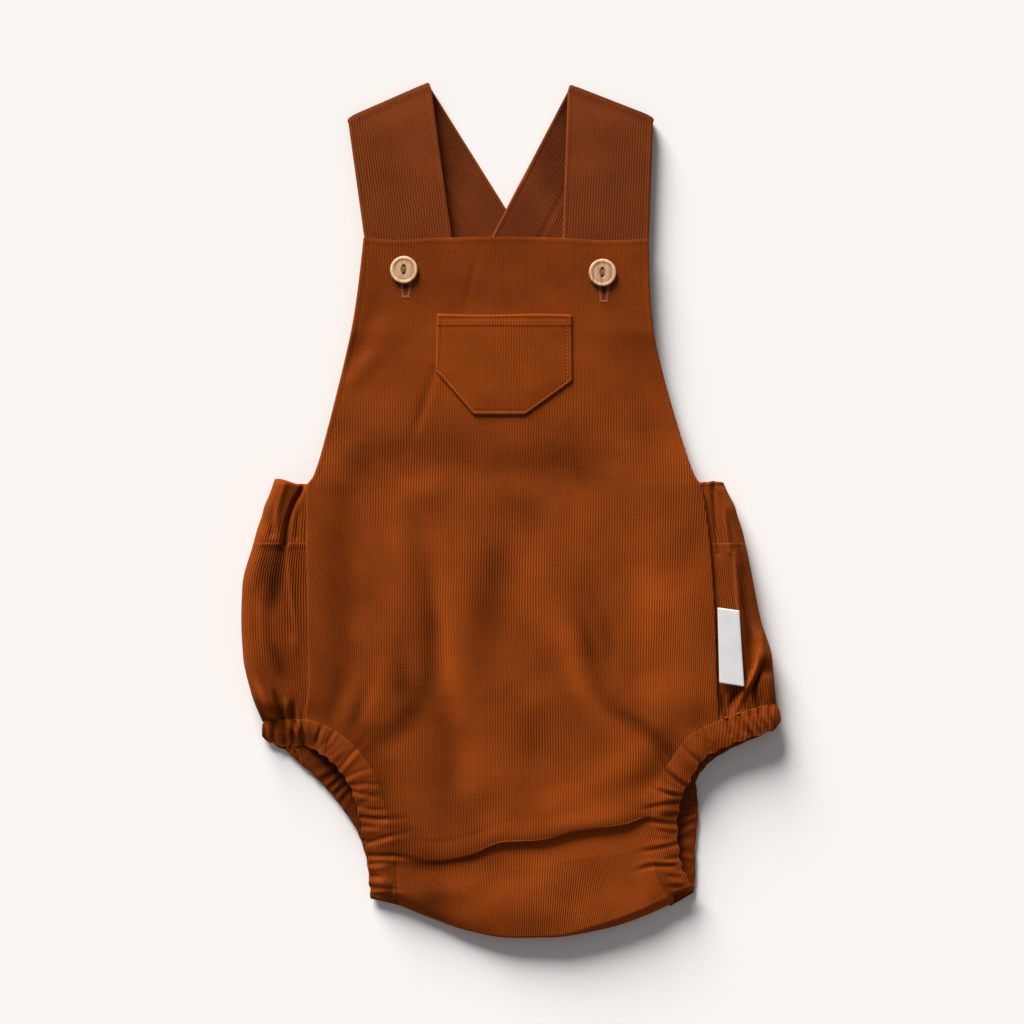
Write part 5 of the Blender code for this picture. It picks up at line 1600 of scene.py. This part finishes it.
def wood(name, light, dark, turn, centre):
    """Wood turned round a centre: its grain, rings of painted shade with a painted highlight on the
    rim, and painted shade in the eye.
    """
    made, tree, shader = material(name)
    place = add(tree, "ShaderNodeTexCoord").outputs["Object"]
    local = vector_math(tree, "SUBTRACT", place, centre)
    inputs = {"Vector": local, "Rotation": (0.0, 0.0, turn), "Scale": GRAIN_SCALE}
    grain = noise(tree, add(tree, "ShaderNodeMapping", inputs).outputs[0], 1.0, 5.0)["Fac"]
    ramp = add(tree, "ShaderNodeValToRGB", {"Fac": grain})
    for stop, at, tone in zip(ramp.color_ramp.elements, (0.34, 0.62), (dark, light)):
        stop.position, stop.color = at, (*tone, 1.0)
    out = length_of(tree, vector_math(tree, "MULTIPLY", local, (1.0, 1.0, 0.0)))
    out = math_node(tree, "MULTIPLY", out, 1.0 / (BUTTON_RADIUS * MM))
    # Rings of painted shade in the groove and at the outer edge, and a painted highlight on the
    # rim.
    rings = add(tree, "ShaderNodeValToRGB", {"Fac": out})
    rings.color_ramp.elements[0].color = (1.0, 0.98, 0.94, 1.0)
    rings.color_ramp.elements[1].color = (0.34, 0.24, 0.18, 1.0)
    for at, tone in RING_SHADE_TONES:
        rings.color_ramp.elements.new(at).color = (tone, tone**1.25, tone**1.7, 1.0)
    tinted = vector_math(tree, "MULTIPLY", ramp.outputs["Color"], rings.outputs["Color"])
    to_eye = (2.0 / (EYE_WIDTH * MM), 2.0 / (EYE_LENGTH * MM), 0.0)
    off = length_of(tree, vector_math(tree, "MULTIPLY", local, to_eye))
    # Painted shade in the eye recess.
    eye_shade = add(tree, "ShaderNodeMapRange", {0: off, 1: 0.75, 2: 1.1, 3: 0.45, 4: 1.0})
    tinted = vector_math(tree, "SCALE", tinted, eye_shade.outputs[0])
    fill(tree, shader, {
        "Normal": relief(tree, grain, 0.08 * MM), "Base Color": tinted,
        "Roughness": 0.6, "Specular IOR Level": 0.2,
    })
    return made


def ribbon(name, colour):
    made, tree, shader = material(name)
    uv = add(tree, "ShaderNodeUVMap", uv_map="cloth").outputs["UV"]
    split = add(tree, "ShaderNodeSeparateXYZ", {"Vector": uv}).outputs
    threads = [
        math_node(tree, "SINE", math_node(tree, "MULTIPLY", split[axis], rate))
        for axis, rate in (("X", 14000.0), ("Y", 9000.0))
    ]
    normal = relief(tree, math_node(tree, "MULTIPLY", *threads), 0.06 * MM)
    tone = math_node(tree, "MULTIPLY_ADD", noise(tree, uv, 90.0, 3.0)["Fac"], 0.2, 0.9)
    tinted = vector_math(tree, "SCALE", colour, tone)
    fill(tree, shader, {"Base Color": tinted, "Normal": normal, "Roughness": 0.75})
    return made


WOODS = {
    "button_left": ("Turned wood, left", (0.70, 0.43, 0.25), (0.50, 0.275, 0.145), 0.1),
    "button_right": ("Turned wood, right", (0.68, 0.40, 0.24), (0.38, 0.185, 0.09), -0.5),
}
for node, looks in WOODS.items():
    made, seat = button_pieces[node]
    centre = (np.array([*BUTTON_PLACES[node], seat]) + SHIFT) * MM
    pieces[node] = (made, wood(*looks, centre.tolist()))
pieces["side_label"] = (label, ribbon("Woven ribbon", (0.66, 0.645, 0.63)))
for piece, finish in pieces.values():
    piece.data.materials.append(finish)


# %% [markdown]
# ## Stitches
#
# Thread shows along the pocket, the waist seams, the leg casings, round the buttonholes and in the
# buttons. Geometry Nodes places it: points at an even pitch along each line, and on each point one
# small thread, turned along the line or across it, with a little unevenness. The buttonholes are
# the same stitches set close together and turned square to the line. A dark thread down each
# buttonhole's slit is painted shade.

# %% The tree that stitches a line
THREAD_SEED = 7
stitch_tree, stitch_in, stitch_out = new_tree(
    "Stitches", "GeometryNodeTree",
    (
        ("Lines", "in", "NodeSocketGeometry", None),
        ("Pitch", "in", "NodeSocketFloat", 0.002),
        ("Length", "in", "NodeSocketFloat", 0.0015),
        ("Width", "in", "NodeSocketFloat", 0.0004),
        ("Turn", "in", "NodeSocketFloat", 0.0),
        ("Uneven", "in", "NodeSocketFloat", 0.15),
        ("Thread", "in", "NodeSocketMaterial", None),
        ("Stitches", "out", "NodeSocketGeometry", None),
    ),
)
given = stitch_in.outputs
t = stitch_tree
line = add(t, "GeometryNodeMeshToCurve", {"Mesh": given["Lines"]})
inputs = {"Curve": line.outputs[0], "Length": given["Pitch"]}
spots = add(t, "GeometryNodeCurveToPoints", inputs, mode="LENGTH").outputs
inputs = {"Vector": spots["Tangent"]}
along = add(t, "FunctionNodeAlignRotationToVector", inputs, axis="X", pivot_axis="Z")
low, high = math_node(t, "MULTIPLY", given["Uneven"], -1.0), given["Uneven"]
inputs = {"Min": low, "Max": high, "Seed": THREAD_SEED}
tilt = add(t, "FunctionNodeRandomValue", inputs, data_type="FLOAT")
tilt_now = next(socket for socket in tilt.outputs if socket.enabled)
fill(t, tilt, {2: low, 3: high})
turned = add(t, "ShaderNodeCombineXYZ", {"Z": math_node(t, "ADD", given["Turn"], tilt_now)})
inputs = {"Rotation": along.outputs[0], "Rotate By": turned.outputs[0]}
spun = add(t, "FunctionNodeRotateRotation", inputs, rotation_space="LOCAL")
thread = add(t, "GeometryNodeMeshUVSphere", {"Segments": 8, "Rings": 5, "Radius": 0.5})
rounded = add(t, "GeometryNodeSetShadeSmooth", {0: thread.outputs["Mesh"]})
inputs = {"X": given["Length"], "Y": given["Width"], "Z": given["Width"]}
size = add(t, "ShaderNodeCombineXYZ", inputs)
placed = add(t, "GeometryNodeInstanceOnPoints", {
    "Points": spots["Points"], "Instance": rounded.outputs[0],
    "Rotation": spun.outputs[0], "Scale": size.outputs[0],
})
solid = add(t, "GeometryNodeRealizeInstances", {0: placed.outputs[0]})
finished = add(t, "GeometryNodeSetMaterial", {0: solid.outputs[0], "Material": given["Thread"]})
fill(t, stitch_out, {0: finished.outputs[0]})
STITCH_INPUTS = {
    item.name: item.identifier for item in t.interface.items_tree if item.in_out == "INPUT"
}
print("Stitches:", len(t.nodes), "nodes; inputs", ", ".join(STITCH_INPUTS))


# %% Stitching a set of lines
def stitched(name, lines, finish, pitch, length, width, turn=0.0, uneven=0.15):
    """One object with all the threads of these lines, given as points in millimetres."""
    points = np.concatenate([(np.array(line, float) + SHIFT) * MM for line in lines])
    ends = np.cumsum([len(line) for line in lines])
    edges = [(k, k + 1) for k in range(len(points) - 1) if k + 1 not in ends]
    guide = bpy.data.meshes.new(name + " lines")
    guide.from_pydata(points.tolist(), edges, [])
    made = into_scene(name, guide)
    modifier = made.modifiers.new("stitches", "NODES")
    modifier.node_group = stitch_tree
    sizes = {"Pitch": pitch * MM, "Length": length * MM, "Width": width * MM}
    for key, value in {**sizes, "Turn": turn, "Uneven": uneven, "Thread": finish}.items():
        modifier[STITCH_INPUTS[key]] = value
    graph = bpy.context.evaluated_depsgraph_get()
    mesh = bpy.data.meshes.new_from_object(made.evaluated_get(graph), depsgraph=graph)
    made.modifiers.remove(modifier)
    made.data = mesh
    print(f"{name}: {len(mesh.polygons)} faces")
    return made


def thread_finish(name, colour):
    made, tree, shader = material(name)
    place = add(tree, "ShaderNodeTexCoord").outputs["Object"]
    strands = noise(tree, place, 3000.0, 2.0)["Fac"]
    tone = add(tree, "ShaderNodeMapRange", {0: strands, 3: 0.65, 4: 1.3}).outputs[0]
    fill(tree, shader, {
        "Base Color": vector_math(tree, "SCALE", colour, tone),
        "Normal": relief(tree, strands, 0.05 * MM),
        "Roughness": 0.8, "Specular IOR Level": 0.08,
    })
    return made


PALE = thread_finish("Thread, pale", (0.33, 0.115, 0.045))
RUSTY = thread_finish("Thread, rust", (0.21, 0.052, 0.014))
BROWN = thread_finish("Thread, brown", (0.27, 0.12, 0.055))
# A near-black thread that stands for the shade inside each buttonhole's slit: painted shade.
SLIT_SHADE = thread_finish("Buttonhole slit, painted shade", (0.06, 0.016, 0.005))
EDGING = thread_finish("Thread, buttonholes", (0.32, 0.11, 0.05))


# %% Lines along the pocket and the seams
LINE_STEP = 1.0


def along_cloth(height, *corners, lift=0.05):
    """Points along straight runs between corners, lying on a surface."""
    corners = np.array(corners, float)
    runs = []
    for start, end in zip(corners, corners[1:]):
        count = max(2, round(math.hypot(*(end - start)) / LINE_STEP))
        runs.append(blend(start, end, np.linspace(0.0, 1.0, count)[:, None]))
    x, y = np.concatenate(runs).T
    return together(x, y, height(x, y) + lift)


def waist_line(side, *corners):
    return along_cloth(lambda x, y: strip_height(side, x, y) + 0.35, *corners)


pocket_hem = along_cloth(pocket_height, (-38.4, 99.9), (31.8, 99.9))
pocket_right = along_cloth(pocket_height, (30.4, 98.6), (30.6, 72.6))
pocket_left = along_cloth(pocket_height, (-37.9, 98.6), (-38.2, 76.4))
pocket_foot = along_cloth(
    pocket_height, (-38.4, 75.0), (-19.2, 53.2), (7.0, 53.1), (31.9, 70.6), lift=0.0
)
seams = [
    SEAM_LINES["left"], SEAM_LINES["right"],
    waist_line("left", (-137.0, -17.6), (-132.6, -18.0)),
    waist_line("left", (-120.0, -18.9), (-110.6, -18.9)),
    waist_line("right", (107.6, -21.4), (116.6, -21.0)),
    waist_line("right", (116.6, -21.0), (125.6, -18.6)),
]
stitch_pieces = [
    stitched("romper_pocket_stitches", [pocket_right], PALE, 1.8, 1.25, 0.42),
    stitched("romper_pocket_hem_stitches", [pocket_hem, pocket_left], RUSTY, 1.8, 1.6, 0.34),
    stitched("romper_pocket_foot_stitches", [pocket_foot], PALE, 1.7, 1.1, 0.5, uneven=0.5),
    stitched("romper_seam_stitches", seams, RUSTY, 2.0, 1.8, 0.2),
]


# %% The buttonholes, and the thread in the buttons
BUTTONHOLES = {"left": (-56.1, 115.2), "right": (50.1, 112.8)}
BUTTONHOLE_TOP_Y, SLIT_TOP_Y = 123.0, 123.4
ACROSS = math.pi / 2
columns, ends, slit_shades, knots = [], [], [], []
for x, y in BUTTONHOLES.values():
    for side in SIGNS.values():
        top, foot = (x + 2.5 * side, BUTTONHOLE_TOP_Y), (x + 1.5 * side, y)
        columns.append(along_cloth(front_height, top, foot, lift=0.02))
    ends.append(along_cloth(front_height, (x - 2.1, y - 0.2), (x + 2.1, y - 0.2), lift=0.02))
    # Painted shade: a dark line sunk along each slit.
    slit_shades.append(along_cloth(front_height, (x, SLIT_TOP_Y), (x, y + 5.0), lift=-0.35))
for name, (x, y) in BUTTON_PLACES.items():
    top = button_pieces[name][1] + DISH * BUTTON_THICK - 0.3
    knots.append([(x - 0.62 + k * 0.3, y, top) for k in range(5)])
stitch_pieces += [
    stitched(
        "romper_buttonholes", columns + ends, EDGING, 0.36, 1.8, 0.42, turn=ACROSS, uneven=0.1
    ),
    stitched("romper_buttonhole_slit_shade", slit_shades, SLIT_SHADE, 0.6, 1.4, 1.6),
    stitched("romper_button_threads", knots, BROWN, 0.6, 4.0, 0.62, turn=ACROSS, uneven=0.05),
]


# %% [markdown]
# ## The floor, the light and the camera
#
# A white table, one large soft lamp that comes in low from beyond the left shoulder, and a weak
# even fill from all round. The plain Standard view shows the colours as they are lit.

# %% The floor
FLOOR_REACH, FLOOR_LEVEL = 4.0, -0.0004
corners = [
    (x * FLOOR_REACH, y * FLOOR_REACH, FLOOR_LEVEL) for x, y in ((-1, -1), (1, -1), (1, 1), (-1, 1))
]
floor_mesh = bpy.data.meshes.new("table")
floor_mesh.from_pydata(corners, [], [(0, 1, 2, 3)])
floor = into_scene("table", floor_mesh)
table_finish, tree, shader = material("White table")
fill(tree, shader, {
    "Base Color": (0.958, 0.91, 0.873, 1.0), "Roughness": 1.0, "Specular IOR Level": 0.0,
})
floor_mesh.materials.append(table_finish)
floor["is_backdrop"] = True


# %% The lights
LAMP_STRENGTH, LAMP_ANGLE = 7.35, math.radians(31.0)
LAMP_TURN, LAMP_HEIGHT = math.radians(22.0), math.radians(20.5)
FILL_STRENGTH = 0.2
FILL_COLOUR, SEEN_COLOUR = (0.97, 1.0, 1.03, 1.0), (0.97, 0.93, 0.9, 1.0)
lamp = bpy.data.lights.new("key", "SUN")
lamp.energy, lamp.angle = LAMP_STRENGTH, LAMP_ANGLE
key = into_scene("key", lamp)
level, high = math.cos(LAMP_HEIGHT), math.sin(LAMP_HEIGHT)
away = Vector((-level * math.sin(LAMP_TURN), level * math.cos(LAMP_TURN), high))
key.location = away * 3.0
key.rotation_euler = away.to_track_quat("Z", "Y").to_euler()
world = bpy.data.worlds.new("studio")
bpy.context.scene.world = world
world.use_nodes = True
tree = world.node_tree
seen = add(tree, "ShaderNodeLightPath").outputs["Is Camera Ray"]
strength = add(
    tree, "ShaderNodeMix", {"Factor": seen, 2: FILL_STRENGTH, 3: 1.0}, data_type="FLOAT"
)
fill(tree, tree.nodes["Background"], {"Strength": strength.outputs[0]})
tint = add(
    tree, "ShaderNodeMix", {"Factor": seen, 6: FILL_COLOUR, 7: SEEN_COLOUR}, data_type="RGBA"
)
fill(tree, tree.nodes["Background"], {"Color": tint.outputs[2]})

bpy.context.scene.view_settings.view_transform = "Standard"


# %% The camera
CAMERA_PLACE = (0.8, -0.3, 1840.0)
CAMERA_LENS, CAMERA_SENSOR, CAMERA_SIGHT = 120.0, 36.0, 50.0
lens = bpy.data.cameras.new("camera")
lens.lens, lens.sensor_width, lens.clip_end = CAMERA_LENS, CAMERA_SENSOR, CAMERA_SIGHT
camera = into_scene("camera", lens)
camera.location = ((SHIFT + CAMERA_PLACE) * MM).tolist()
bpy.context.scene.camera = camera


# %% [markdown]
# ## Handing the pieces to the frame
#
# Each piece rides on the imported part's one body and stands in for its solid, which is hidden.

# %% Rides
for node, (piece, _) in pieces.items():
    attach(piece, "root")
    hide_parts(node)

for piece in stitch_pieces:
    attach(piece, "root")

# %% Sizes, and the end
low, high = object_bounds()
print("Visual box, mm:", [round((b - a) / MM, 1) for a, b in zip(low, high)])
